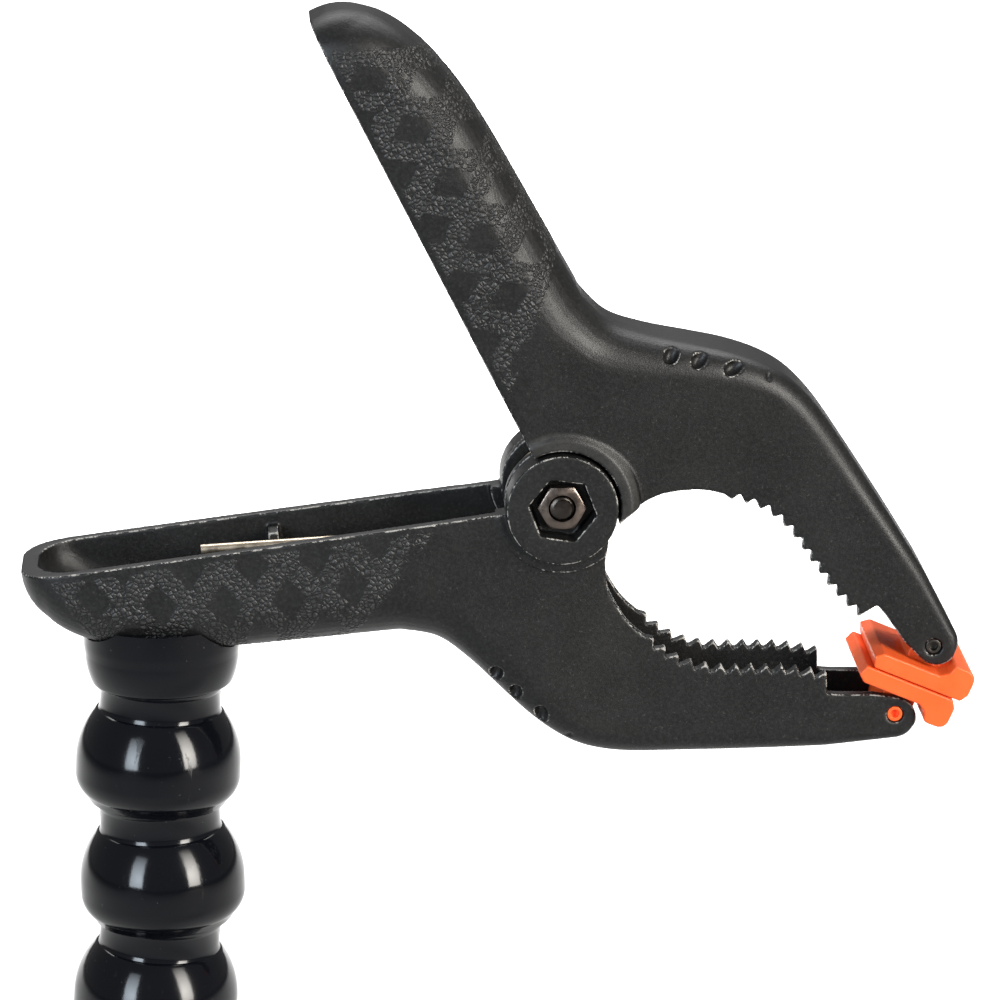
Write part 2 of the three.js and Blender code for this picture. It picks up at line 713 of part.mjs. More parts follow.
const lower = piece("lower_arm", lowerArm(), nylonBlack);
lower.scale.z = -1;
clamp.add(lower);

for (const [side, sign] of [
  ["upper", 1],
  ["lower", -1],
]) {
  const pin = piece(`${side}_pad_pin`, padPin(), side === "upper" ? darkSteel : padOrange);
  const pad = piece(`${side}_pad`, jawPad(), padOrange);
  pad.scale.z = -sign;
  const holder = new THREE.Group();
  holder.position.set(PAD_PIN[0], 0, sign * PAD_PIN[1]);
  holder.rotation.y = -PAD_TURN;
  holder.add(pad, pin);
  clamp.add(holder);
}

export default object;
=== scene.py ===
"""The looks of a nylon spring clamp on a ball-and-socket arm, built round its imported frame.

Shapes are drawn in millimetres in the clamp's own frame, then placed in the row frame in metres.
"""

import json
import math

import bmesh
import bpy
import numpy as np
from mathutils import Matrix, Vector


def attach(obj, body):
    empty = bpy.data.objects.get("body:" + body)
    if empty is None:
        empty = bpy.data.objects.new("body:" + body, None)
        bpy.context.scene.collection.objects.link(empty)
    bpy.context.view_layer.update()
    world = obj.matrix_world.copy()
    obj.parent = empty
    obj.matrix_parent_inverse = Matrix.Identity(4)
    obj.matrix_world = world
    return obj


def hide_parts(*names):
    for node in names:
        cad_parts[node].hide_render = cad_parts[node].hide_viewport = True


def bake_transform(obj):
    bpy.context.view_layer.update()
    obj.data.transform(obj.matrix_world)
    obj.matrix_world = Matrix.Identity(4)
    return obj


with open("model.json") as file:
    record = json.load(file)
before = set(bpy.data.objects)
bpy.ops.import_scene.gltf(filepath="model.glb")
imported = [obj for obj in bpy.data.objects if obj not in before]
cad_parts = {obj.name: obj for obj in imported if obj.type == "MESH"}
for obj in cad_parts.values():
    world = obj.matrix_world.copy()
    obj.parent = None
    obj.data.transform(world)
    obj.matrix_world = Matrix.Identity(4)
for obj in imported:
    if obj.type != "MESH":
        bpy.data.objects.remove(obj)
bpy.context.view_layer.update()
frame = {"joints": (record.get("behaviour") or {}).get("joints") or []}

MM = 0.001
DEG = math.pi / 180
JOINTS = {joint["name"]: Vector(joint["pos_m"]) for joint in frame["joints"]}
PIVOT = JOINTS["jaw_open"]
GAP = 0.3  # clearance between neighbouring parts

# ---- Clamp arms, in the clamp frame: origin on the pivot, x halves the jaws' angle ----
CLAMP_TILT = 28.05 * DEG
HANDLE_ANGLE = 35.35 * DEG
HANDLE_LENGTH = 102.8
HANDLE_HALF_WIDTH = 13.8
HANDLE_DEPTH = 21.2  # from the rim plane to the spine, at the hub's end
HANDLE_TAPER = 0.045  # of that depth, lost per millimetre towards the tip
HANDLE_CORNER = 9.5
HANDLE_WALL = 2.6
SPINE_WALL = 2.8
TIP_WALL = 3.2
RIM_OFFSET = -0.5
SPINE_TAPER_START = 60
SPINE_END = HANDLE_LENGTH + 0.2  # where its curve comes down to the rim plane
PLAN_ROUND_START = 90
HUB_START = 36  # along the handle, where the hub's cross sections take over
JAW_HALF_WIDTH = 9.2
JAW_TIP = (77.2, 8.4)
JAW_TIP_RADIUS = 4.2
TOOTH_COUNT = 12
TOOTH_DEPTH = 1.75
BEYOND = 20  # past the sides of the clamp

# ---- Pivot stack, as distances from the middle plane ----
EAR_INNER = 5.0
EAR_OUTER = 7.3
EAR_RADIUS = 10.6
COLLAR_INNER_RADIUS = 11.1
COLLAR_BASE_RADIUS = 14.8
COLLAR_TOP_RADIUS = 13.2
COLLAR_BASE = 11.9
COLLAR_OUTER = 13.2
DISC_INNER = EAR_OUTER + GAP
DISC_OUTER = 14.5
DISC_RADIUS = 10.5
DISC_STEP_RADIUS = 12.6
DISC_STEP_OUTER = 12.9
HUB_RADIUS = 17
HUB_OUTER = 10.6
RECESS_FLOOR = 9.8
RECESS_ACROSS_FLATS = 11.2
RECESS_TURN = -11 * DEG
BOLT_RADIUS = 2.3
BOLT_HOLE_RADIUS = 2.6
HEX_ACROSS_FLATS = 8
NUT_HEIGHT = 2.7
BOLT_HEAD_HEIGHT = 3.4
NUT_TURN = 30 * DEG
SLEEVE_RADIUS = 6.2
SLEEVE_HALF_LENGTH = 4.7
THREAD_PITCH = 0.8
THREAD_END = -4
BOLT_PROUD = 0.4

# ---- Torsion spring ----
WIRE_RADIUS = 1.0
COIL_RADIUS = 7.85
COIL_PITCH = 2.2
COIL_WHOLE_TURNS = 3
LEG_LENGTH = 69
LEG_DEPTH = 2.95
RIB_PLACE = 55
RIB_THICKNESS = 2
GUSSET_FROM = 5.2
GUSSET_DEPTH = 2

# ---- Jaw pads ----
PAD_PIN = (76.9, 7.6)
PAD_LENGTH = 19.8
PAD_HALF_WIDTH = 11.8
PAD_BASE = 3.4
PAD_TOE = 6.3
PAD_TURN = 5 * DEG
LUG_HALF_WIDTH = 6.1
LUG_RADIUS = 3.3
PAD_PIN_RADIUS = 1.5
PAD_PIN_DIMPLE = 1.2  # depth of the hollow in each end

# ---- Arm ----
PITCH = 24
BALL_RADIUS = 13.8
SOCKET_RADIUS = BALL_RADIUS + GAP
BORE_RADIUS = 8.2
NECK_RADIUS = 11.6
NECK_LEVEL = -10.9  # below the ball's middle
BULB_RADIUS = 15.9
BULB_DROP = 22.3
BULB_STRAIGHT = 2.4
BULB_TUCK = 5.4
MOUTH_DROP = 6.2
LIP_RADIUS = 13.15
SEGMENT_TILTS = [2.8 * DEG, -1.2 * DEG, 4.6 * DEG, 0]  # from the clamp down
SEGMENT_JOINTS = ["clamp_swivel", "bend_1", "bend_2", "bend_3"]  # at each segment's ball
SADDLE_RADIUS = 15.0
SADDLE_BOWL_RADIUS = 14.75
SADDLE_DROP = 30.1
SADDLE_TOP = -23.6
SOCKET_CEILING = -SADDLE_DROP - 1.6
ARM_AXIS_BACK = 75.8
TOP_BALL_CUT = -2.9
BASE_BALL_HEIGHT = 22.7
FLANGE_RADIUS = 19
FLANGE_HEIGHT = 7
INSERT_RADIUS = 4.6
INSERT_HEIGHT = 9.5
INSERT_BORE = 3.0
BOSS_RADIUS = 7
BOSS_TOP = -24.6
SCREW_RADIUS = 2.0
SCREW_HEAD_RADIUS = 4.0
SCREW_HEAD_HEIGHT = 2.4
WASHER_RADIUS = 5
WASHER_HEIGHT = 1
LOCK_NUT_HEIGHT = 3.2
LOCK_NUT_ACROSS_FLATS = 7

ROUND = 144  # sides of a round piece
FINE_ROUND = 192
ARM_VOXEL = 0.3
ARM_TRIANGLES = 190000
ARM_EDGE = 1.3  # curvature at which an edge counts as fully worn
PAD_VOXEL = 0.2
PAD_EDGE = 1.5


# ---- Camera, floor and light ----
def linked(name, data):
    """A new object in the scene."""
    thing = bpy.data.objects.new(name, data)
    bpy.context.scene.collection.objects.link(thing)
    return thing


def camera():
    elevation, azimuth, distance = 15.4 * DEG, -3 * DEG, 0.9
    aim = PIVOT + Vector((-0.01173, -0.01286, 0.0019))
    flat = math.cos(elevation)
    back = Vector((math.sin(azimuth) * flat, -math.cos(azimuth) * flat, math.sin(elevation)))
    data = bpy.data.cameras.new("camera")
    data.lens = 172.7
    data.sensor_width = 36
    data.clip_start = 0.05
    thing = linked("camera", data)
    thing.location = aim + back * distance
    thing.rotation_euler = (-back).to_track_quat("-Z", "Y").to_euler()
    bpy.context.scene.camera = thing


def area_light(name, place, target, size, radiance, spread, tint=(1, 1, 1)):
    """A lit rectangle of this radiance straight ahead, falling off towards the spread's edge."""
    half = spread / 2 * DEG
    data = bpy.data.lights.new(name, "AREA")
    data.shape = "RECTANGLE"
    data.size, data.size_y = size
    data.energy = radiance * math.pi * size[0] * size[1] * (1 - half / math.tan(half))
    data.color = tint
    data.spread = 2 * half
    thing = linked(name, data)
    thing.location = place
    thing.rotation_euler = (Vector(target) - Vector(place)).to_track_quat("-Z", "Y").to_euler()
    thing.visible_camera = False


def studio():
    """Two tall softboxes in front, a strip over the floor behind, and a little light all round."""
    warm, cool = (1, 0.96, 0.9), (0.8, 0.9, 1)
    area_light("softbox_right", (0.9, -0.84, 0.72), (0, 0.16, 0.34), (0.42, 1.3), 26, 70, warm)
    area_light("softbox_left", (-0.74, -0.98, 0.6), (0, 0.16, 0.3), (0.42, 1.0), 17, 70, cool)
    area_light("strip", (0, 1.08, 0.6), (0, 1.08, 0), (0.85, 1.7), 20, 108)

    world = bpy.data.worlds.new("studio")
    world.use_nodes = True
    world.node_tree.nodes["Background"].inputs["Color"].default_value = (1, 1, 1, 1)
    world.node_tree.nodes["Background"].inputs["Strength"].default_value = 0.2
    bpy.context.scene.world = world

    bpy.ops.mesh.primitive_plane_add(size=12, location=(0, 2, 0))
    floor = bpy.context.object
    floor.name = "floor"
    material, _, _, shader = new_material("floor_white")
    shader.inputs["Base Color"].default_value = (0.46, 0.46, 0.455, 1)
    shader.inputs["Roughness"].default_value = 0.9
    floor.data.materials.append(material)
    bpy.context.scene.view_settings.view_transform = "Standard"


# ---- Materials ----
def new_material(name):
    material = bpy.data.materials.new(name)
    material.use_nodes = True
    tree = material.node_tree
    return material, tree.nodes, tree.links, tree.nodes["Principled BSDF"]


class Graph:
    """Short calls that add shader nodes to one material."""

    def __init__(self, name):
        self.material, self.nodes, self.links, self.shader = new_material(name)
        self.object_place = self.nodes.new("ShaderNodeTexCoord").outputs["Object"]

    def put(self, socket, value):
        if isinstance(value, bpy.types.NodeSocket):
            self.links.new(value, socket)
        elif value is not None:
            socket.default_value = value

    def fill(self, node, values):
        """Puts values or links into a node's inputs, named with underscores for spaces."""
        for name, value in values.items():
            self.put(node.inputs[name.replace("_", " ")], value)

    def node(self, kind, **values):
        node = self.nodes.new("ShaderNode" + kind)
        self.fill(node, values)
        return node

    def attribute(self, name, output="Fac"):
        node = self.node("Attribute")
        node.attribute_name = name
        return node.outputs[output]

    def noise(self, scale, detail=3.0, roughness=0.5, place=None):
        place = place or self.object_place
        node = self.node("TexNoise", Scale=scale, Detail=detail, Roughness=roughness, Vector=place)
        return node.outputs["Fac"]

    def cells(self, scale, place):
        """The distance to the nearest border between Voronoi cells."""
        node = self.node("TexVoronoi", Scale=scale, Vector=place)
        node.feature = "DISTANCE_TO_EDGE"
        return node.outputs["Distance"]

    def stretched(self, scale):
        return self.node("Mapping", Scale=scale, Vector=self.object_place).outputs["Vector"]

    def math(self, operation, a, b=None):
        node = self.node("Math")
        node.operation = operation
        self.put(node.inputs[0], a)
        self.put(node.inputs[1], b)
        return node.outputs[0]

    def times(self, a, b):
        return self.math("MULTIPLY", a, b)

    def ramp(self, value, low, high, to_low=0.0, to_high=1.0):
        ends = {"From_Min": low, "From_Max": high, "To_Min": to_low, "To_Max": to_high}
        node = self.node("MapRange", Value=value, **ends)
        node.interpolation_type = "SMOOTHSTEP"
        return node.outputs["Result"]

    def mix(self, factor, a, b):
        node = self.node("Mix")
        node.data_type = "RGBA"
        a, b = ((*colour, 1) if isinstance(colour, tuple) else colour for colour in (a, b))
        self.fill(node, {"Factor": factor, "A": a, "B": b})
        return node.outputs["Result"]

    def bump(self, height, distance, strength=1.0, normal=None):
        node = self.node("Bump", Strength=strength, Distance=distance, Height=height, Normal=normal)
        return node.outputs["Normal"]

    def surface(self, **values):
        self.fill(self.shader, values)
        return self.material


PEBBLE_SCALE = 1.12  # pebbles per millimetre of the handle's own coordinates
PEBBLE_SLOPE = 0.35  # of a cell, from its border to the pebble's flat top
PEBBLE_HEIGHT = 0.09


def collar_mask(g, place):
    """The collar's rubbed ring, on the arm whose `rub` is 1."""
    along, depth, side = g.node("SeparateXYZ", Vector=place).outputs
    radius = g.math("SQRT", g.math("ADD", g.math("POWER", along, 2), g.math("POWER", depth, 2)))
    ring = g.ramp(radius, COLLAR_BASE_RADIUS - 0.5, COLLAR_BASE_RADIUS + 0.2, 1, 0)
    raised = g.ramp(g.math("ABSOLUTE", side), COLLAR_BASE - 0.1, COLLAR_BASE + 0.2)
    return g.times(g.times(ring, raised), g.attribute("rub"))


def nylon_material():
    g = Graph("nylon_black")
    place = g.attribute("place", "Vector")
    grain = g.attribute("grain")
    wear = g.attribute("wear")
    pebble = g.ramp(g.cells(PEBBLE_SCALE, place), 0.0, 0.36)
    raised = g.times(pebble, grain)
    crevice_shade = g.times(g.math("SUBTRACT", 1.0, pebble), grain)
    cloud = g.noise(90, 3)
    mottle = g.ramp(g.noise(1500, 3, 0.7), 0.38, 0.66)
    fine = g.noise(2600, 2, 0.6)
    speck = g.ramp(g.noise(1900, 2, 0.5), 0.64, 0.74)
    ragged = g.noise(420, 5, 0.75)
    flash = g.ramp(g.times(wear, g.ramp(ragged, 0.35, 0.6, 0.4, 1.4)), 0.4, 0.62)
    base = g.mix(cloud, (0.0035, 0.0035, 0.0036), (0.0062, 0.006, 0.0059))
    base = g.mix(g.times(mottle, 0.6), base, (0.0165, 0.0165, 0.0167))
    base = g.mix(g.times(speck, 0.28), base, (0.085, 0.083, 0.08))
    # Painted highlight: the pebble tops are mixed lighter; the same mask also drives their bump.
    base = g.mix(g.times(raised, 0.4), base, (0.052, 0.051, 0.05))
    # Painted shade: the crevices between the pebbles are mixed darker.
    base = g.mix(g.times(crevice_shade, 0.3), base, (0.003, 0.003, 0.003))
    worn = g.times(collar_mask(g, place), g.ramp(ragged, 0.3, 0.7, 0.35, 0.9))
    base = g.mix(worn, base, (0.034, 0.033, 0.031))
    base = g.mix(g.times(flash, 0.85), base, (0.4, 0.38, 0.35))
    rough = g.ramp(cloud, 0.3, 0.7, 0.4, 0.47)
    normal = g.bump(fine, 0.00008, 0.6)
    normal = g.bump(raised, 0.00013, 1.0, normal)
    return g.surface(Base_Color=base, Roughness=rough, Normal=normal, Specular_IOR_Level=0.4)


def hose_material():
    g = Graph("hose_black")
    cloud = g.noise(60, 3)
    scratch = g.ramp(g.noise(300, 5, 0.75, g.stretched((1, 1, 0.12))), 0.6, 0.7)
    speck = g.ramp(g.noise(1400, 2, 0.5), 0.73, 0.8)
    base = g.mix(cloud, (0.0018, 0.002, 0.003), (0.003, 0.0036, 0.0058))
    base = g.mix(g.times(speck, 0.4), base, (0.13, 0.14, 0.15))
    rough = g.math("ADD", g.ramp(cloud, 0.35, 0.65, 0.08, 0.13), g.times(scratch, 0.2))
    normal = g.bump(g.noise(420, 3, 0.5), 0.00003, 0.5)
    return g.surface(
        Base_Color=base, Roughness=rough, Normal=normal, Specular_IOR_Level=0.5, IOR=1.42
    )


def pad_material():
    g = Graph("pad_orange")
    cloud = g.noise(140, 3)
    wear = g.attribute("wear")
    base = g.mix(cloud, (0.97, 0.105, 0.016), (1.0, 0.15, 0.034))
    base = g.mix(g.ramp(wear, 0.4, 0.9, 0, 0.4), base, (1.0, 0.24, 0.07))
    rough = g.ramp(g.noise(800, 3), 0.3, 0.7, 0.32, 0.46)
    normal = g.bump(g.noise(700, 3), 0.00003, 0.5)
    g.surface(Subsurface_Radius=(1.0, 0.35, 0.12), Subsurface_Scale=0.0015, Subsurface_Weight=0.25)
    return g.surface(Base_Color=base, Roughness=rough, Normal=normal, Specular_IOR_Level=0.4)


def metal_material(name, dark, light, rough):
    g = Graph(name)
    cloud = g.noise(500, 4, 0.6)
    base = g.mix(cloud, dark, light)
    roughness = g.ramp(cloud, 0.3, 0.7, rough - 0.06, rough + 0.1)
    normal = g.bump(g.noise(1200, 3, 0.6), 0.00003, 0.5)
    return g.surface(Base_Color=base, Roughness=roughness, Normal=normal, Metallic=1.0)


# ---- Mesh helpers ----
def object_from(name, points, faces):
    mesh = bpy.data.meshes.new(name)
    mesh.from_pydata([tuple(p) for p in points], [], faces)
    mesh.update()
    return linked(name, mesh)


def evaluated(thing):
    """The object's mesh with its modifiers applied, and the modifiers removed."""
    graph = bpy.context.evaluated_depsgraph_get()
    mesh = bpy.data.meshes.new_from_object(thing.evaluated_get(graph), depsgraph=graph)
    thing.modifiers.clear()
    thing.data = mesh
    return thing


def combine(first, operation, *others):
    """Joins, cuts or intersects a solid with others, which are used up."""
    for other in others:
        cut = first.modifiers.new(operation, "BOOLEAN")
        cut.operation = operation
        cut.solver = "MANIFOLD"
        cut.object = other
        evaluated(first)
        bpy.data.objects.remove(other)
    return first


def outward(thing):
    """Turns a closed mesh's faces outward."""
    shape = bmesh.new()
    shape.from_mesh(thing.data)
    bmesh.ops.recalc_face_normals(shape, faces=shape.faces)
    if shape.calc_volume(signed=True) < 0:
        bmesh.ops.reverse_faces(shape, faces=shape.faces)
    shape.to_mesh(thing.data)
    shape.free()
    return thing


def largest_part(thing):
    """Keeps the largest connected part of a mesh."""
    shape = bmesh.new()
    shape.from_mesh(thing.data)
    parts, left = [], set(shape.verts)
    while left:
        part, edge = [], [left.pop()]
        while edge:
            vertex = edge.pop()
            part.append(vertex)
            near = [e.other_vert(vertex) for e in vertex.link_edges]
            fresh = [v for v in near if v in left]
            left.difference_update(fresh)
            edge += fresh
        parts.append(part)
    for part in sorted(parts, key=len)[:-1]:
        bmesh.ops.delete(shape, geom=part, context="VERTS")
    shape.to_mesh(thing.data)
    shape.free()
    return thing


def prism(name, first, second):
    """A solid between two rings whose points match one for one."""
    count = len(first)
    faces = [list(range(count)), list(range(2 * count - 1, count - 1, -1))]
    faces += [(i, i + count, (i + 1) % count + count, (i + 1) % count) for i in range(count)]
    return outward(object_from(name, first + second, faces))


def plate(name, outline, low, high):
    """An outline in the XZ plane, extruded along Y."""
    return prism(name, [(x, low, z) for x, z in outline], [(x, high, z) for x, z in outline])


def circle(radius, count=ROUND, turn=0.0, centre=(0, 0)):
    steps = [turn + 2 * math.pi * i / count for i in range(count)]
    return [(centre[0] + radius * math.cos(a), centre[1] + radius * math.sin(a)) for a in steps]


def rod(radius, low, high, count=ROUND, centre=(0, 0), turn=0.0):
    return plate("rod", circle(radius, count, turn, centre), low, high)


def rod_pair(radius, inner, outer):
    return combine(rod(radius, inner, outer), "UNION", rod(radius, -outer, -inner))


def tapered_pair(inner_radius, outer_radius, inner, outer):
    """A cone's frustum on both sides of the middle plane."""
    halves = []
    for side in (1, -1):
        near = [(x, side * inner, z) for x, z in circle(inner_radius)]
        far = [(x, side * outer, z) for x, z in circle(outer_radius)]
        halves.append(prism("frustum", near, far))
    return combine(halves[0], "UNION", halves[1])


def hexagon_radius(across_flats):
    return across_flats / 2 / math.cos(30 * DEG)


def hexagon(across_flats, turn, low, high):
    return rod(hexagon_radius(across_flats), low, high, 6, turn=30 * DEG - turn)


def lathe(name, profile, count=ROUND):
    """A ring about Z from (radius, height) points that close on themselves."""
    points = []
    for i in range(count):
        angle = 2 * math.pi * i / count
        points += [(r * math.cos(angle), r * math.sin(angle), z) for r, z in profile]
    size = len(profile)
    faces = []
    for i in range(count):
        for j in range(size):
            a, b = i * size + j, i * size + (j + 1) % size
            c, d = (i + 1) % count * size + (j + 1) % size, (i + 1) % count * size + j
            faces.append((a, b, c, d))
    return outward(object_from(name, points, faces))


def rounded(corners, steps=5):
    """A closed outline from (x, y, radius) corners, each replaced by a round stretch."""
    outline = []
    for i, (x, y, radius) in enumerate(corners):
        here = np.array((x, y), float)
        if radius <= 0:
            outline.append((x, y))
            continue
        before = np.array(corners[i - 1][:2], float) - here
        after = np.array(corners[(i + 1) % len(corners)][:2], float) - here
        u, v = before / np.linalg.norm(before), after / np.linalg.norm(after)
        half = math.acos(max(-1, min(1, float(u @ v)))) / 2
        longest = 0.49 * min(np.linalg.norm(before), np.linalg.norm(after))
        reach = min(radius / math.tan(half), longest)
        for k in range(steps + 1):
            t = k / steps
            start, end = here + u * reach, here + v * reach
            outline.append(tuple((1 - t) ** 2 * start + 2 * t * (1 - t) * here + t * t * end))
    return outline


def ring(name, inner, outer, low, high, rounds):
    """A flat ring about Z. `rounds` are its corners' radii, from the inner low one outward."""
    corners = [(inner, low), (outer, low), (outer, high), (inner, high)]
    return lathe(name, rounded([(*c, r) for c, r in zip(corners, rounds)]), 96)


def arc(radius, height, start, end, steps):
    """Points of a circle whose middle is on the axis, at this height."""
    turns = [start + (end - start) * i / steps for i in range(steps + 1)]
    return [(radius * math.cos(a), height + radius * math.sin(a)) for a in turns]


def catmull(points, steps):
    """A uniform Catmull-Rom curve through points, `steps` points to each stretch."""
    knots = np.array(points, float)
    ends = np.vstack([knots[:1], knots, knots[-1:]])
    t = np.linspace(0, 1, steps, endpoint=False)[:, None]
    found = []
    for i in range(len(knots) - 1):
        a, b, c, d = ends[i : i + 4]
        v0, v1 = (c - a) / 2, (d - b) / 2
        found.append((2 * b - 2 * c + v0 + v1) * t**3 + (3 * c - 3 * b - 2 * v0 - v1) * t**2 + v0 * t + b)
    return np.vstack([*found, knots[-1:]])


def resampled(line, count):
    """Points and directions at equal distances along a line."""
    line = np.array(line, float)
    along = np.concatenate([[0], np.cumsum(np.linalg.norm(np.diff(line, axis=0), axis=1))])
    at = np.linspace(0, along[-1], count)
    points = np.stack([np.interp(at, along, line[:, k]) for k in range(2)], 1)
    ways = np.gradient(points, axis=0)
    return points, ways / np.linalg.norm(ways, axis=1)[:, None]


# ---- The arm's outline ----
def on_handle(along, depth):
    """A place given along the handle from the pivot and in from its rim plane."""
    c, s = math.cos(HANDLE_ANGLE), math.sin(HANDLE_ANGLE)
    return (-along * c + depth * s, along * s + depth * c)


def spine_depth(along):
    """The spine's depth, which comes down to nothing at the tip in one round sweep."""
    u = max(0.0, (along - SPINE_TAPER_START) / (SPINE_END - SPINE_TAPER_START))
    depth = HANDLE_DEPTH - HANDLE_TAPER * max(0.0, along - HUB_START)
    return depth * max(0.0, 1 - u**3) ** (1 / 2.2)


def plan_half_width(along, half_width, tip):
    u = min(1.0, max(0.0, (along - PLAN_ROUND_START) / (tip - PLAN_ROUND_START)))
    return half_width * (1 - u**3) ** (1 / 3)


def handle_steps(count=70):
    """Places along the handle from its tip to the hub, closer together at the tip."""
    return [HANDLE_LENGTH - (HANDLE_LENGTH - HUB_START) * (i / count) ** 1.8 for i in range(count + 1)]


SHOULDER = [
    (-14.9, 36.6), (-8, 34.6), (0, 35.8), (8, 38.1), (15, 40), (22, 41),
    (28, 40.6), (35, 38.2), (44, 33.5), (56, 26.8), (68, 19.8),
]
THROAT = [(26.6, 15.8), (21.6, 14.3), (15.6, 10.3), (12.4, 5.4), (10.9, 1.6)]
TEETH_LINE = [(61, 6.1), (54.5, 8.2), (47.5, 11.6), (41, 14.8), (35, 16.2), (28.4, 15.4)]


def toothed_edge():
    peaks, _ = resampled(catmull(TEETH_LINE, 24), TOOTH_COUNT + 1)
    fine, ways = resampled(catmull(TEETH_LINE, 24), TOOTH_COUNT * 100 + 1)
    points = []
    for i in range(TOOTH_COUNT):
        middle = i * 100 + 62
        valley = fine[middle] + TOOTH_DEPTH * np.array((ways[middle][1], -ways[middle][0]))
        points += [tuple(peaks[i]), tuple(valley)]
    return points + [tuple(peaks[-1])]


TIP_STEPS = 24
SPINE_PROUD = 2
FIRST_PROUD = 14  # of the spine's points, past the handle's round tip


def tip_arc():
    """The jaw's round end, from the shoulder's line to the underside."""
    turns = [(60 - 165 * i / TIP_STEPS) * DEG for i in range(TIP_STEPS + 1)]
    return [
        (JAW_TIP[0] + JAW_TIP_RADIUS * math.cos(a), JAW_TIP[1] + JAW_TIP_RADIUS * math.sin(a))
        for a in turns
    ]


def spine_line():
    handle = [on_handle(s, spine_depth(s)) for s in handle_steps()]
    return np.array(handle + [tuple(p) for p in catmull(SHOULDER, 8)] + tip_arc())


def side_outline():
    """The arm's side view. Its spine stands proud, since the lofted skin ends there."""
    half_tip = TIP_STEPS // 2
    spine = spine_line()[:-half_tip]
    ways = np.gradient(spine, axis=0)
    ways /= np.maximum(np.linalg.norm(ways, axis=1), 1e-9)[:, None]
    proud = spine + SPINE_PROUD * np.stack([-ways[:, 1], ways[:, 0]], 1)
    before_tip = len(spine) - half_tip - 1
    return [
        on_handle(HANDLE_LENGTH + SPINE_PROUD, RIM_OFFSET),
        on_handle(HANDLE_LENGTH + SPINE_PROUD, 4),
        *[tuple(p) for p in proud[FIRST_PROUD:before_tip:2]],
        *tip_arc(),
        (71.4, 5.9),
        (65.6, 8.9),
        (63.2, 9.9),
        *toothed_edge(),
        *[tuple(p) for p in catmull(THROAT, 6)],
        (0, RIM_OFFSET),
    ]


# ---- The arm's cross sections ----
# Inner point, direction point on the spine, half width, corner radius, spine wall.
HUB_STATIONS = [
    (*on_handle(27, 0), *on_handle(33, 21.3), 13.3, 9, SPINE_WALL),
    (*on_handle(18, 0), -12, 35.4, 12.9, 8.5, SPINE_WALL),
    (*on_handle(9, 0), -5, 34.8, 12.5, 8, SPINE_WALL),
    (0, 0, 3, 36.6, 12.1, 7, SPINE_WALL),
    (7, 1, 11.5, 39.1, 11.6, 6, SPINE_WALL),
    (12.5, 6, 19.5, 40.8, 10.9, 5, SPINE_WALL),
    (18.5, 12, 27, 40.9, 10.1, 4.4, SPINE_WALL),
    (25, 15.5, 34, 38.7, 9.5, 4, SPINE_WALL),
    (33, 16, 42, 34.6, JAW_HALF_WIDTH, 3.8, SPINE_WALL),
    (44, 13, 53, 28.5, JAW_HALF_WIDTH, 3.4, SPINE_WALL),
    (54, 7.5, 62, 23.4, JAW_HALF_WIDTH, 2.8, SPINE_WALL),
    (64, 3, 71, 18, JAW_HALF_WIDTH, 2.2, SPINE_WALL),
    (72, 0, 78.6, 13.4, JAW_HALF_WIDTH, 1.8, 1.4),
    (76, -2, 82.8, 9.5, JAW_HALF_WIDTH, 1.6, 1.4),
]


def handle_station(along, tip):
    """A cross section of the handle, which is a little narrower towards the hub."""
    along = min(along, tip)
    half = HANDLE_HALF_WIDTH - max(0, (60 - along) / 60)
    outer = on_handle(along, spine_depth(along * HANDLE_LENGTH / tip))
    half = plan_half_width(along, half, tip + 0.3)
    return (*on_handle(along, 0), *outer, half, HANDLE_CORNER, SPINE_WALL)


def crossing(start, way, line):
    """The furthest point where a ray meets a line, or None."""
    a, b = line[:-1], line[1:]
    side = b - a
    det = way[0] * side[:, 1] - way[1] * side[:, 0]
    rel = a - start
    with np.errstate(divide="ignore", invalid="ignore"):
        t = (rel[:, 0] * side[:, 1] - rel[:, 1] * side[:, 0]) / det
        u = (rel[:, 0] * way[1] - rel[:, 1] * way[0]) / det
    good = (u >= 0) & (u <= 1) & (t > 0)
    return start + way * t[good].max() if good.any() else None


def stations(tip, spine):
    """The cross sections from the handle's tip to the jaw's, the hub's fitted to the spine."""
    handle = [handle_station(s, tip) for s in handle_steps()]
    knots = [handle_station(HUB_START, tip), *HUB_STATIONS]
    hub = catmull(knots, 7)[1:]
    fitted = []
    for row in hub:
        inner, outer = row[:2], row[2:4]
        way = (outer - inner) / np.linalg.norm(outer - inner)
        met = crossing(inner, way, spine)
        fitted.append((*inner, *(outer if met is None else met), *row[4:]))
    return handle + fitted


def section(row, inset, spine_inset, past, corner_steps=9):
    """A cross section's ring, from `past` the rim on one side round the spine to the other."""
    inner, outer = np.array(row[:2]), np.array(row[2:4])
    depth = np.linalg.norm(outer - inner)
    way = (outer - inner) / depth
    top = max(0.6, depth - spine_inset)
    width = max(0.5, row[4] - inset)
    radius = max(0.4, min(row[5] - inset / 2, width - 0.1, top - 0.1))
    at = lambda y, t: (inner[0] + way[0] * t, y, inner[1] + way[1] * t)
    ring = [at(width, -past)]
    for side in (1, -1):
        for i in range(corner_steps + 1):
            angle = (i if side > 0 else corner_steps - i) / corner_steps * 90 * DEG
            y = side * (width - radius + radius * math.cos(angle))
            ring.append(at(y, top - radius + radius * math.sin(angle)))
    ring.append(at(-width, -past))
    return ring


def loft(name, rings):
    count = len(rings[0])
    points = [p for ring in rings for p in ring]
    last = (len(rings) - 1) * count
    faces = [list(range(count)), [last + i for i in reversed(range(count))]]
    for i in range(len(rings) - 1):
        for j in range(count):
            a, b = i * count + j, i * count + (j + 1) % count
            faces.append((a, a + count, b + count, b))
    return outward(object_from(name, points, faces))


def skin(spine, grow=0.0):
    """The arm's outside, which runs past the rim until the side view trims it."""
    rings = [section(row, -grow, -grow, 5) for row in stations(HANDLE_LENGTH, spine)]
    return loft("skin", rings)


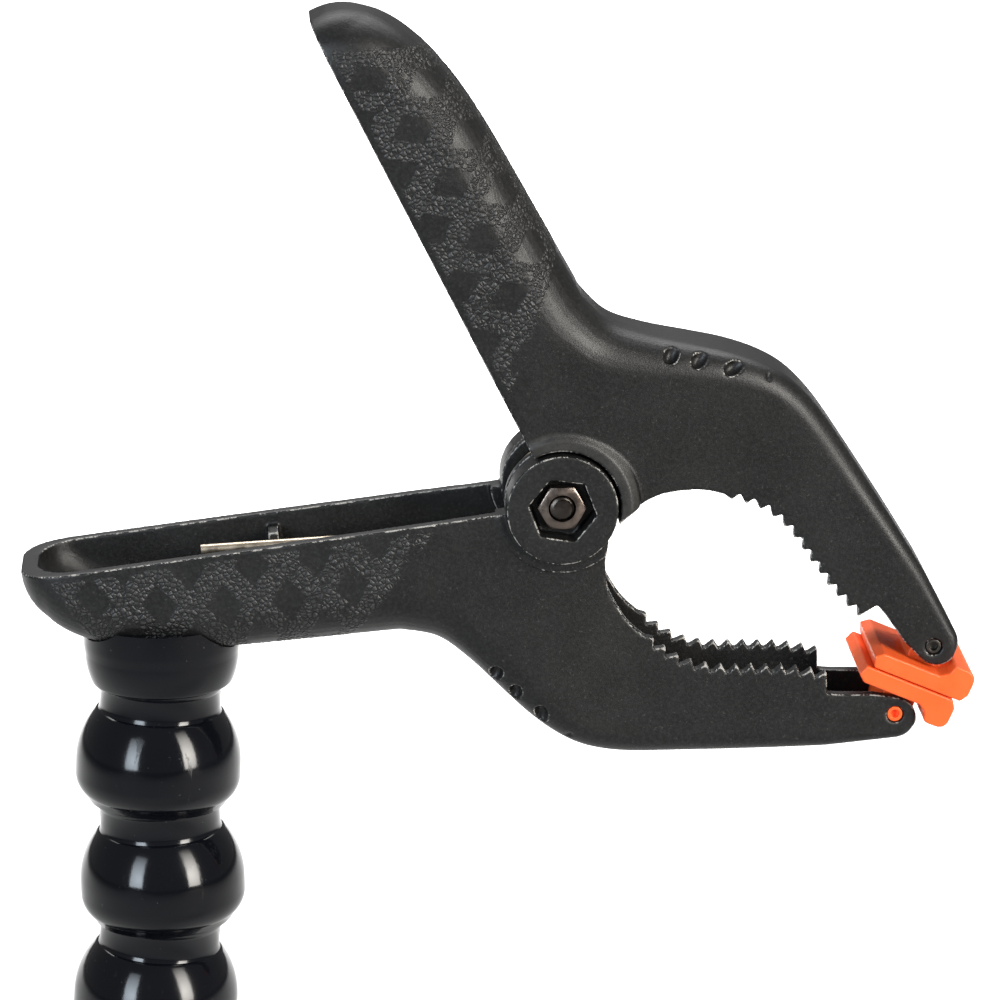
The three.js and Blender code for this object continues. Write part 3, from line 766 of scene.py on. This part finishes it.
def cavity(spine):
    """The hollow of the arm's U section, open at the rim."""
    rows = stations(HANDLE_LENGTH - TIP_WALL, spine)
    return loft("cavity", [section(row, HANDLE_WALL, row[6], 9) for row in rows])


def leg_depth(along):
    """The spring leg's middle, from the coil's edge to its end under the rib."""
    return COIL_RADIUS - (COIL_RADIUS - LEG_DEPTH) * along / LEG_LENGTH


def spring_rib(spine):
    """The rib that the spring's leg bears on, taller at both sides of the leg."""
    thick = RIB_THICKNESS / 2
    width = HANDLE_HALF_WIDTH - HANDLE_WALL / 2

    def wall(top, low, high):
        corners = [
            on_handle(RIB_PLACE - thick, top),
            on_handle(RIB_PLACE + thick, top),
            on_handle(RIB_PLACE + thick, HANDLE_DEPTH - 1),
            on_handle(RIB_PLACE - thick, HANDLE_DEPTH - 1),
        ]
        return plate("rib", corners, low, high)

    rib = wall(leg_depth(RIB_PLACE - thick) + WIRE_RADIUS + GAP, -width, width)
    gussets = wall(GUSSET_DEPTH, GUSSET_FROM, width), wall(GUSSET_DEPTH, -width, -GUSSET_FROM)
    return combine(combine(rib, "UNION", *gussets), "INTERSECT", skin(spine, -1))


# Shallow oval recesses along the shoulder: place, half length and lean.
DIMPLES = [
    (4.6, 35.4, 2.4, 90),
    (9.8, 37.1, 2.5, 78),
    (16.4, 38.7, 2.6, 60),
    (23.0, 40.2, 1.0, 20),
    (29.6, 39.9, 0.8, -10),
]
DIMPLE_SIDE = 10.2
DIMPLE_HALF_WIDTH = 1.4
DIMPLE_REACH = 1.9


def dimple(x, z, half_length, lean, side):
    """A thin ellipsoid that bites into the corner between the side and the spine."""
    bpy.ops.mesh.primitive_uv_sphere_add(segments=48, ring_count=24, radius=1)
    ball = bpy.context.object
    turn = Matrix.Rotation(-lean * DEG, 4, "Y")
    shift = Matrix.Translation((x, side * DIMPLE_SIDE, z))
    size = Matrix.Diagonal((half_length, DIMPLE_REACH, DIMPLE_HALF_WIDTH, 1))
    ball.data.transform(shift @ turn @ size)
    return ball


def side_block(name="block"):
    """The side view as a block, which trims what it meets to the rim."""
    return plate(name, side_outline(), -BEYOND, BEYOND)


def shell(name):
    """What the two arms share: the U section with its teeth, rib, pin hole and dimples."""
    spine = spine_line()
    body = combine(side_block(name), "INTERSECT", skin(spine))
    combine(body, "DIFFERENCE", cavity(spine))
    combine(body, "UNION", spring_rib(spine))
    combine(body, "DIFFERENCE", rod(PAD_PIN_RADIUS + GAP / 2, -BEYOND, BEYOND, 48, PAD_PIN))
    for side in (1, -1):
        for row in DIMPLES:
            combine(body, "DIFFERENCE", dimple(*row, side))
    return body


def upper_arm_solid():
    body = shell("upper_arm_shape")
    hub = rod_pair(HUB_RADIUS, EAR_INNER, HUB_OUTER)
    combine(body, "UNION", combine(hub, "INTERSECT", side_block()))
    collar = rod_pair(COLLAR_BASE_RADIUS, EAR_INNER, COLLAR_BASE)
    cone = tapered_pair(COLLAR_BASE_RADIUS, COLLAR_TOP_RADIUS, COLLAR_BASE, COLLAR_OUTER)
    combine(collar, "UNION", cone)
    combine(body, "UNION", combine(collar, "INTERSECT", side_block()))
    combine(body, "DIFFERENCE", rod_pair(COLLAR_INNER_RADIUS, EAR_OUTER, BEYOND))
    combine(body, "UNION", rod_pair(EAR_RADIUS, EAR_INNER, EAR_OUTER))
    return combine(body, "DIFFERENCE", rod(BOLT_HOLE_RADIUS, -BEYOND, BEYOND, 48))


def post(radius, low, high, count=96):
    """A cylinder about the arm's axis, in the lower arm's drawing."""
    thing = rod(radius, low, high, count)
    upright = Matrix.Translation((-ARM_AXIS_BACK, 0, 0)) @ Matrix.Rotation(math.pi / 2, 4, "X")
    into = Matrix.Diagonal((1, 1, -1, 1)) @ Matrix.Rotation(-CLAMP_TILT, 4, "Y")
    thing.data.transform(into @ upright)
    return outward(thing)


def lower_arm_solid():
    body = shell("lower_arm_shape")
    step = rod_pair(DISC_STEP_RADIUS, DISC_INNER, DISC_STEP_OUTER)
    combine(body, "UNION", combine(step, "INTERSECT", side_block()))
    combine(body, "DIFFERENCE", rod(EAR_RADIUS + GAP, -DISC_INNER, DISC_INNER))
    combine(body, "UNION", rod_pair(DISC_RADIUS, DISC_INNER, DISC_OUTER))
    for low, high in ((RECESS_FLOOR, BEYOND), (-BEYOND, -RECESS_FLOOR)):
        combine(body, "DIFFERENCE", hexagon(RECESS_ACROSS_FLATS, RECESS_TURN, low, high))
    combine(body, "DIFFERENCE", rod(BOLT_HOLE_RADIUS, -BEYOND, BEYOND, 48))
    boss = combine(post(BOSS_RADIUS, -BOSS_TOP, SADDLE_DROP), "INTERSECT", skin(spine_line(), -1))
    combine(body, "UNION", boss)
    return combine(body, "DIFFERENCE", post(SCREW_RADIUS + GAP, 0, SADDLE_DROP, 48))


# ---- Finishing ----
def softened(thing, voxel, rounds):
    """Remeshes a solid evenly and rounds its edges a little."""
    remesh = thing.modifiers.new("even", "REMESH")
    remesh.mode = "VOXEL"
    remesh.voxel_size = voxel
    smooth = thing.modifiers.new("round", "SMOOTH")
    smooth.factor = 0.5
    smooth.iterations = rounds
    return evaluated(thing)


def arrays(thing):
    """A mesh's points, edges and normals."""
    mesh = thing.data
    points = np.empty(len(mesh.vertices) * 3, np.float32)
    mesh.vertices.foreach_get("co", points)
    edges = np.empty(len(mesh.edges) * 2, np.int32)
    mesh.edges.foreach_get("vertices", edges)
    normals = np.empty(len(mesh.vertices) * 3, np.float32)
    mesh.vertices.foreach_get("normal", normals)
    return points.reshape(-1, 3), edges.reshape(-1, 2), normals.reshape(-1, 3)


def store(thing, name, values, kind="FLOAT"):
    attribute = thing.data.attributes.new(name, kind, "POINT")
    field = "value" if kind == "FLOAT" else "vector"
    attribute.data.foreach_set(field, np.ascontiguousarray(values, np.float32).ravel())


def store_wear(thing, full):
    """How convex the surface is at each vertex, from 0 to 1 at the curvature `full`."""
    points, edges, normals = arrays(thing)
    total = np.zeros_like(points)
    count = np.zeros(len(points))
    length = np.zeros(len(points))
    a, b = edges.T
    span = np.linalg.norm(points[a] - points[b], axis=1)
    for i, j in ((a, b), (b, a)):
        np.add.at(total, i, points[j])
        np.add.at(count, i, 1)
        np.add.at(length, i, span)
    mean = total / count[:, None]
    bend = np.einsum("ij,ij->i", points - mean, normals) / (length / count) ** 2
    spread = np.zeros(len(points))
    for i, j in ((a, b), (b, a)):
        np.add.at(spread, i, bend[j])
    store(thing, "wear", np.clip((0.5 * bend + 0.5 * spread / count) / full, 0, 1))


DIAMOND_PITCH = (12.1, 15.2)  # along the handle and across it
DIAMOND_START = 89.5
DIAMOND_EDGE = 0.275  # of the way from a diamond's middle, where its smooth face ends
DIAMOND_ROW = 10.2  # the middle row's depth at ROW_MIDDLE, from which it bows to the rim
ROW_MIDDLE = 55
ROW_BOW = 0.0045
GRIP_SPINE = 19.4  # depth past which the pebbles have no diamonds
GRIP_START = (23, 0.96)  # along the handle at the rim, and how it leans with the depth
GRIP_END = (98, -0.5)
GRIP_FADE = 0.8
RIM_MARGIN = 0.6


def store_grip(thing):
    """Handle coordinates and the mask of the pebbled bands, which leave smooth diamonds."""
    points, _, normals = arrays(thing)
    x, y, z = points.T
    c, s = math.cos(HANDLE_ANGLE), math.sin(HANDLE_ANGLE)
    along, depth = -x * c + z * s, x * s + z * c
    store(thing, "place", np.stack([along, depth, y], 1), "FLOAT_VECTOR")
    row = DIAMOND_ROW - ROW_BOW * (along - ROW_MIDDLE) ** 2
    u, v = (along - DIAMOND_START) / DIAMOND_PITCH[0], (depth - row) / DIAMOND_PITCH[1]
    near = lambda p, q: np.abs(p - np.round(p)) + np.abs(q - np.round(q))
    diamond = np.minimum(near(u, v), near(u + 0.5, v + 0.5))
    bands = np.clip((diamond - DIAMOND_EDGE) / 0.03, 0, 1)
    bands = np.where(depth > GRIP_SPINE, 1, bands)
    first, last = (place + lean * depth for place, lean in (GRIP_START, GRIP_END))
    inside = np.clip((along - first) / GRIP_FADE, 0, 1) * np.clip((last - along) / GRIP_FADE, 0, 1)
    facing = normals[:, 1] * np.sign(y) + normals[:, 0] * s + normals[:, 2] * c
    outside = np.clip((facing - 0.1) / 0.4, 0, 1)
    off_rim = np.clip((depth - RIM_MARGIN) / RIM_MARGIN, 0, 1)
    store(thing, "grain", bands * inside * off_rim * outside)


def pebbled(thing):
    """Raises the pebbles of the grip as geometry, from the same cells as the material's."""
    tree = bpy.data.node_groups.new("pebbles", "GeometryNodeTree")
    tree.interface.new_socket("Geometry", in_out="INPUT", socket_type="NodeSocketGeometry")
    tree.interface.new_socket("Geometry", in_out="OUTPUT", socket_type="NodeSocketGeometry")
    make, join = tree.nodes.new, tree.links.new
    start, end, move = make("NodeGroupInput"), make("NodeGroupOutput"), make("GeometryNodeSetPosition")
    place, grain = make("GeometryNodeInputNamedAttribute"), make("GeometryNodeInputNamedAttribute")
    place.data_type, grain.data_type = "FLOAT_VECTOR", "FLOAT"
    place.inputs["Name"].default_value, grain.inputs["Name"].default_value = "place", "grain"
    cells = make("ShaderNodeTexVoronoi")
    cells.feature = "DISTANCE_TO_EDGE"
    cells.inputs["Scale"].default_value = PEBBLE_SCALE
    rise = make("ShaderNodeMapRange")
    rise.interpolation_type = "SMOOTHSTEP"
    rise.inputs["From Max"].default_value = PEBBLE_SLOPE
    rise.inputs["To Max"].default_value = PEBBLE_HEIGHT
    amount, lift = make("ShaderNodeMath"), make("ShaderNodeVectorMath")
    amount.operation, lift.operation = "MULTIPLY", "SCALE"
    join(start.outputs[0], move.inputs["Geometry"])
    join(place.outputs["Attribute"], cells.inputs["Vector"])
    join(cells.outputs["Distance"], rise.inputs["Value"])
    join(rise.outputs["Result"], amount.inputs[0])
    join(grain.outputs["Attribute"], amount.inputs[1])
    join(make("GeometryNodeInputNormal").outputs["Normal"], lift.inputs[0])
    join(amount.outputs[0], lift.inputs["Scale"])
    join(lift.outputs["Vector"], move.inputs["Offset"])
    join(move.outputs["Geometry"], end.inputs[0])
    thing.modifiers.new("pebbles", "NODES").node_group = tree
    return evaluated(thing)


CLAMP = Matrix.Translation(PIVOT) @ Matrix.Rotation(CLAMP_TILT, 4, "Y") @ Matrix.Scale(MM, 4)
TURNED_OVER = Matrix.Diagonal((1, 1, -1, 1))
UPRIGHT = Matrix.Translation(PIVOT) @ Matrix.Scale(MM, 4)


def placed(thing, matrix):
    """Puts a mesh in its place in the row frame, keeping its faces outward."""
    thing.data.transform(matrix)
    if matrix.to_3x3().determinant() < 0:
        thing.data.flip_normals()
    return thing


def done(thing, name, body, node, slot, material, smooth_angle=None):
    """Names a finished piece, gives it its material and puts it on its body."""
    thing.name = name
    thing.data.materials.clear()
    thing.data.materials.append(material)
    for face in thing.data.polygons:
        face.use_smooth = True
    if smooth_angle is not None:
        thing.data.set_sharp_from_angle(angle=smooth_angle * DEG)
    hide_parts(node)
    if body:
        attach(thing, body)
    return thing


def make_arms(nylon):
    for side, solid, over in (
        ("upper", upper_arm_solid, Matrix.Identity(4)),
        ("lower", lower_arm_solid, TURNED_OVER),
    ):
        arm = softened(solid(), ARM_VOXEL, 2)
        store_grip(arm)
        store(arm, "rub", np.full(len(arm.data.vertices), side == "upper"))
        store_wear(arm, ARM_EDGE)
        pebbled(arm)
        lighter = arm.modifiers.new("lighter", "DECIMATE")
        lighter.ratio = min(1, ARM_TRIANGLES / (2 * len(arm.data.polygons)))
        evaluated(arm)
        placed(arm, CLAMP @ over)
        done(arm, f"{side}_arm_moulding", f"{side}_clamp", f"{side}_arm", "nylon_black", nylon)


# ---- Pads ----
def pad_solid():
    face = PAD_PIN[1] - GAP / 2
    back = -PAD_LENGTH * 0.52
    front = back + PAD_LENGTH
    level = PAD_PIN[1] - PAD_BASE
    toe = PAD_PIN[1] - PAD_TOE
    block = rounded(
        [
            (back, level + 1.2, 0.3),
            (back + 1.5, level, 0.5),
            (front - 6.6, level, 0.3),
            (front - 5.1, level - 1.1, 0.9),
            (front - 4.6, toe, 1.5),
            (front, toe, 2.7),
            (front, face - 1.6, 0.5),
            (front - 1, face, 0.4),
            (back + 0.8, face, 0.4),
        ]
    )
    body = plate("pad", block, -PAD_HALF_WIDTH, PAD_HALF_WIDTH)
    edge = body.modifiers.new("edge", "BEVEL")
    edge.width, edge.segments, edge.limit_method = 0.5, 3, "ANGLE"
    edge.angle_limit = 60 * DEG
    evaluated(body)
    web = [(-LUG_RADIUS, 0), (LUG_RADIUS, 0), (LUG_RADIUS, level + 0.5), (-LUG_RADIUS, level + 0.5)]
    combine(body, "UNION", plate("web", web, -LUG_HALF_WIDTH, LUG_HALF_WIDTH))
    combine(body, "UNION", rod(LUG_RADIUS, -LUG_HALF_WIDTH, LUG_HALF_WIDTH, 64))
    return combine(body, "DIFFERENCE", rod(PAD_PIN_RADIUS + GAP / 2, -BEYOND, BEYOND, 48))


def make_pads(orange, dark):
    for side, sign in (("upper", 1), ("lower", -1)):
        turn = Matrix.Rotation(-PAD_TURN, 4, "Y")
        holder = CLAMP @ Matrix.Translation((PAD_PIN[0], 0, sign * PAD_PIN[1])) @ turn
        pad = softened(pad_solid(), PAD_VOXEL, 3)
        store_wear(pad, PAD_EDGE)
        placed(pad, holder @ Matrix.Diagonal((1, 1, -sign, 1)))
        done(pad, f"{side}_pad_moulding", f"{side}_pad", f"{side}_pad", "pad_orange", orange)
        half = JAW_HALF_WIDTH - 0.4
        end = [
            (0.01, PAD_PIN_DIMPLE - half, 0),
            (0.75, PAD_PIN_DIMPLE - half, 0.1),
            (0.85, -half, 0.12),
            (PAD_PIN_RADIUS, -half, 0.3),
        ]
        other = [(radius, -level, bend) for radius, level, bend in reversed(end)]
        pin = lathe("pin", rounded(end + other), 48)
        if side == "lower":
            store(pin, "wear", np.zeros(len(pin.data.vertices)))
        placed(pin, holder @ Matrix.Rotation(math.pi / 2, 4, "X"))
        finish = ("pad_orange", orange) if side == "lower" else ("dark_steel", dark)
        done(pin, f"{side}_pad_rivet", f"{side}_clamp", f"{side}_pad_pin", *finish, 40)


# ---- Spring and pivot hardware ----
def spring_points():
    """The wire's centreline from the lower leg's end to the upper leg's."""
    start = math.atan2(*reversed(on_handle(0, COIL_RADIUS)))
    sweep = 2 * start + COIL_WHOLE_TURNS * 2 * math.pi
    half = COIL_PITCH / 2 * sweep / (2 * math.pi)
    legs = np.linspace(LEG_LENGTH, 0, 60)[:-1]
    lower = [(p[0], half, -p[1]) for p in (on_handle(s, leg_depth(s)) for s in legs)]
    upper = [(p[0], -half, p[1]) for p in (on_handle(s, leg_depth(s)) for s in legs[::-1])]
    coil = []
    for t in np.linspace(0, 1, 240):
        turn = t * sweep - start
        coil.append((COIL_RADIUS * math.cos(turn), half * (1 - 2 * t), COIL_RADIUS * math.sin(turn)))
    return lower + coil + upper, half


def make_spring(material):
    line, half = spring_points()
    data = bpy.data.curves.new("spring", "CURVE")
    data.dimensions = "3D"
    data.bevel_depth = WIRE_RADIUS
    data.bevel_resolution = 6
    data.use_fill_caps = True
    path = data.splines.new("POLY")
    path.points.add(len(line) - 1)
    for point, place in zip(path.points, line):
        point.co = (*place, 1)
    curve = linked("spring_line", data)
    graph = bpy.context.evaluated_depsgraph_get()
    mesh = bpy.data.meshes.new_from_object(curve.evaluated_get(graph), depsgraph=graph)
    bpy.data.objects.remove(curve)
    wire = placed(linked("spring", mesh), CLAMP)
    done(wire, "spring_wire", None, "torsion_spring", "spring_steel", material, 40)
    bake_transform(wire)


def chamfered_hexagon(across_flats, low, high, turn):
    """A hexagonal blank along Y whose corners are turned down at its ends."""
    blank = hexagon(across_flats, turn, low, high)
    corner = hexagon_radius(across_flats)
    end = across_flats / 2 * 0.97
    drop = (corner - end) * math.tan(30 * DEG)
    profile = [
        (0.01, low),
        (end, low),
        (corner + 0.02, low + drop),
        (corner + 0.02, high - drop),
        (end, high),
        (0.01, high),
    ]
    cone = lathe("cone", profile)
    cone.data.transform(Matrix.Rotation(-math.pi / 2, 4, "X"))
    return combine(blank, "INTERSECT", outward(cone))


def thread(radius, low, high, pitch=THREAD_PITCH, depth=0.28, count=64):
    """A rod about Y whose ridges follow a screw thread, with a chamfered end at `low`."""
    rows = int((high - low) / pitch * 10)
    points, faces = [], []
    for i in range(rows + 1):
        y = low + (high - low) * i / rows
        ends = min(1.0, (y - low) / (0.6 * depth + 0.25), (high - y) / 0.3 + 0.2)
        for j in range(count):
            angle = 2 * math.pi * j / count
            wave = abs(((y / pitch + j / count) % 1) * 2 - 1)
            r = radius - depth * wave - 0.5 * (1 - ends)
            points.append((r * math.cos(angle), y, r * math.sin(angle)))
    for i in range(rows):
        for j in range(count):
            a, b = i * count + j, i * count + (j + 1) % count
            faces.append((a, b, b + count, a + count))
    faces += [list(range(count)), [rows * count + j for j in reversed(range(count))]]
    return outward(object_from("thread", points, faces))


def make_pivot(steel, bolt_steel, dark):
    seat = RECESS_FLOOR + GAP
    nut = chamfered_hexagon(HEX_ACROSS_FLATS, -seat - NUT_HEIGHT, -seat, NUT_TURN)
    combine(nut, "DIFFERENCE", rod(BOLT_HOLE_RADIUS, -BEYOND, BEYOND, 64))
    done(placed(nut, UPRIGHT), "hex_nut", "lower_clamp", "pivot_nut", "steel", steel, 30)

    bolt = thread(BOLT_RADIUS, -seat - NUT_HEIGHT - BOLT_PROUD, THREAD_END)
    shank = rod(BOLT_RADIUS - 0.02, THREAD_END - 0.2, seat + 1, 64)
    head = chamfered_hexagon(HEX_ACROSS_FLATS, seat, seat + BOLT_HEAD_HEIGHT, NUT_TURN)
    combine(bolt, "UNION", shank, head)
    done(placed(bolt, UPRIGHT), "hex_bolt", "lower_clamp", "pivot_bolt", "steel", bolt_steel, 30)

    half, rounds = SLEEVE_HALF_LENGTH, (0.2, 0.3, 0.3, 0.2)
    sleeve = ring("sleeve", BOLT_HOLE_RADIUS, SLEEVE_RADIUS, -half, half, rounds)
    sleeve.data.transform(Matrix.Rotation(math.pi / 2, 4, "X"))
    done(placed(sleeve, UPRIGHT), "spacer_tube", "lower_clamp", "pivot_sleeve", "dark_steel", dark, 40)


# ---- Saddle ----
ARM_AXIS = UPRIGHT @ Matrix.Translation((-ARM_AXIS_BACK, 0, 0))


def make_saddle(hose, steel):
    centre = -SADDLE_DROP
    hole = SCREW_RADIUS + GAP
    mouth = math.asin(MOUTH_DROP / SOCKET_RADIUS)
    top = math.asin((SOCKET_CEILING - centre) / SOCKET_RADIUS)
    bowl = math.asin(MOUTH_DROP / SADDLE_BOWL_RADIUS)
    profile = [
        (hole, SADDLE_TOP),
        (hole, SOCKET_CEILING),
        *arc(SOCKET_RADIUS, centre, top, 0.015 - mouth, 24),
        (SOCKET_RADIUS * math.cos(mouth) + 0.15, centre - MOUTH_DROP),
        (SADDLE_BOWL_RADIUS * math.cos(bowl) - 0.15, centre - MOUTH_DROP),
        *arc(SADDLE_BOWL_RADIUS, centre, 0.02 - bowl, 0, 16),
        (SADDLE_RADIUS - 0.05, centre + 1.2),
        (SADDLE_RADIUS, centre + 2),
        (SADDLE_RADIUS, SADDLE_TOP),
    ]
    cup = lathe("cup", profile)
    handle = skin(spine_line(), GAP)
    over = Matrix.Translation((ARM_AXIS_BACK, 0, 0)) @ Matrix.Rotation(CLAMP_TILT, 4, "Y") @ TURNED_OVER
    handle.data.transform(over)
    largest_part(combine(cup, "DIFFERENCE", outward(handle)))
    done(placed(cup, ARM_AXIS), "saddle_cup", "lower_clamp", "saddle_socket", "hose_black", hose, 35)

    seat = SOCKET_CEILING - GAP
    end = BOSS_TOP + 3 * GAP + WASHER_HEIGHT + LOCK_NUT_HEIGHT + 1
    screw = thread(SCREW_RADIUS, -end, -seat + 1, 0.7, 0.22)
    screw.data.transform(Matrix.Rotation(-math.pi / 2, 4, "X"))
    pan = [
        (0.01, seat, 0),
        (0.01, seat - SCREW_HEAD_HEIGHT, 0),
        (SCREW_HEAD_RADIUS, seat - SCREW_HEAD_HEIGHT, 1.2),
        (SCREW_HEAD_RADIUS, seat, 0.1),
    ]
    head = lathe("head", rounded(pan), 96)
    combine(outward(screw), "UNION", head)
    done(placed(screw, ARM_AXIS), "pan_screw", "lower_clamp", "saddle_screw", "steel", steel, 30)

    low, rounds = BOSS_TOP + GAP, (0.1, 0.2, 0.3, 0.2)
    washer = ring("washer", hole, WASHER_RADIUS, low, low + WASHER_HEIGHT, rounds)
    done(placed(washer, ARM_AXIS), "flat_washer", "lower_clamp", "saddle_washer", "steel", steel, 30)

    low = BOSS_TOP + 2 * GAP + WASHER_HEIGHT
    nut = chamfered_hexagon(LOCK_NUT_ACROSS_FLATS, low, low + LOCK_NUT_HEIGHT, 0)
    combine(nut, "DIFFERENCE", rod(hole, -2 * BEYOND, 2 * BEYOND, 64))
    nut.data.transform(Matrix.Rotation(math.pi / 2, 4, "X"))
    done(placed(nut, ARM_AXIS), "lock_nut", "lower_clamp", "saddle_nut", "steel", steel, 30)


# ---- Arm segments ----
def ball_profile(cut=None):
    """A ball from its bore down to the neck, flat at the height `cut` where there is one."""
    top = cut if cut is not None else math.sqrt(BALL_RADIUS**2 - (BORE_RADIUS + 1) ** 2)
    neck = -math.acos(NECK_RADIUS / BALL_RADIUS)
    return [(BORE_RADIUS, top), *arc(BALL_RADIUS, 0, math.asin(top / BALL_RADIUS), neck, 28)]


def segment_solid(cut):
    mouth = -math.asin(MOUTH_DROP / SOCKET_RADIUS)
    ceiling = math.acos(BORE_RADIUS / SOCKET_RADIUS)
    bulb = arc(BULB_RADIUS, -BULB_DROP, 40 * DEG, 0, 24)
    tuck = arc(BULB_TUCK, -BULB_DROP - BULB_STRAIGHT, 0, -50 * DEG, 16)
    low = -PITCH - MOUTH_DROP
    profile = [
        *ball_profile(cut),
        (NECK_RADIUS, NECK_LEVEL),
        (NECK_RADIUS + 0.06, NECK_LEVEL - 0.5),
        (NECK_RADIUS + 0.25, NECK_LEVEL - 1),
        *bulb,
        *[(r + BULB_RADIUS - BULB_TUCK, z) for r, z in tuck],
        (LIP_RADIUS + 0.12, low + 0.2),
        (LIP_RADIUS - 0.05, low),
        (LIP_RADIUS - 0.4, low),
        *arc(SOCKET_RADIUS, -PITCH, mouth + 0.015, ceiling, 28),
    ]
    return lathe("segment", profile, FINE_ROUND)


def make_arm(hose):
    for number, (tilt, joint) in enumerate(zip(SEGMENT_TILTS, SEGMENT_JOINTS), 1):
        segment = segment_solid(TOP_BALL_CUT if number == 1 else None)
        matrix = Matrix.Translation(JOINTS[joint]) @ Matrix.Rotation(tilt, 4, "Y") @ Matrix.Scale(MM, 4)
        body, node = f"segment_{number}", f"arm_segment_{number}"
        done(placed(segment, matrix), f"{body}_moulding", body, node, "hose_black", hose, 35)


def make_base(hose, brass):
    floor = -BASE_BALL_HEIGHT
    foot = rounded(
        [
            (NECK_RADIUS, NECK_LEVEL, 0),
            (NECK_RADIUS + 1, -12, 0.8),
            (FLANGE_RADIUS - 2, floor + FLANGE_HEIGHT + 1, 1.2),
            (FLANGE_RADIUS, floor + FLANGE_HEIGHT - 1, 0.8),
            (FLANGE_RADIUS, floor + 1, 0.4),
            (FLANGE_RADIUS - 1, floor, 0.4),
            (INSERT_RADIUS + GAP, floor, 0.2),
            (INSERT_RADIUS + GAP, floor + INSERT_HEIGHT + GAP, 0.4),
            (BORE_RADIUS, floor + INSERT_HEIGHT + 3, 0),
        ]
    )
    fitting = lathe("fitting", [*ball_profile(), *foot], FINE_ROUND)
    matrix = Matrix.Translation(JOINTS["base_bend"]) @ Matrix.Scale(MM, 4)
    done(placed(fitting, matrix), "flange_fitting", "base", "base_fitting", "hose_black", hose, 35)
    insert = ring("insert", INSERT_BORE, INSERT_RADIUS, GAP, INSERT_HEIGHT, (0.3, 0.3, 0.3, 0.3))
    done(placed(insert, Matrix.Scale(MM, 4)), "threaded_insert", "base", "base_insert", "brass", brass, 35)


camera()
studio()
nylon = nylon_material()
hose = hose_material()
orange = pad_material()
steel = metal_material("steel", (0.15, 0.12, 0.105), (0.3, 0.245, 0.21), 0.3)
bolt_steel = metal_material("bolt_steel", (0.045, 0.04, 0.037), (0.1, 0.085, 0.075), 0.36)
spring_steel = metal_material("spring_steel", (0.42, 0.35, 0.26), (0.6, 0.52, 0.41), 0.38)
dark_steel = metal_material("dark_steel", (0.05, 0.046, 0.042), (0.11, 0.1, 0.09), 0.42)
brass = metal_material("brass", (0.55, 0.38, 0.14), (0.72, 0.54, 0.24), 0.3)
make_arms(nylon)
make_pads(orange, dark_steel)
make_spring(spring_steel)
make_pivot(steel, bolt_steel, dark_steel)
make_saddle(hose, steel)
make_arm(hose)
make_base(hose, brass)
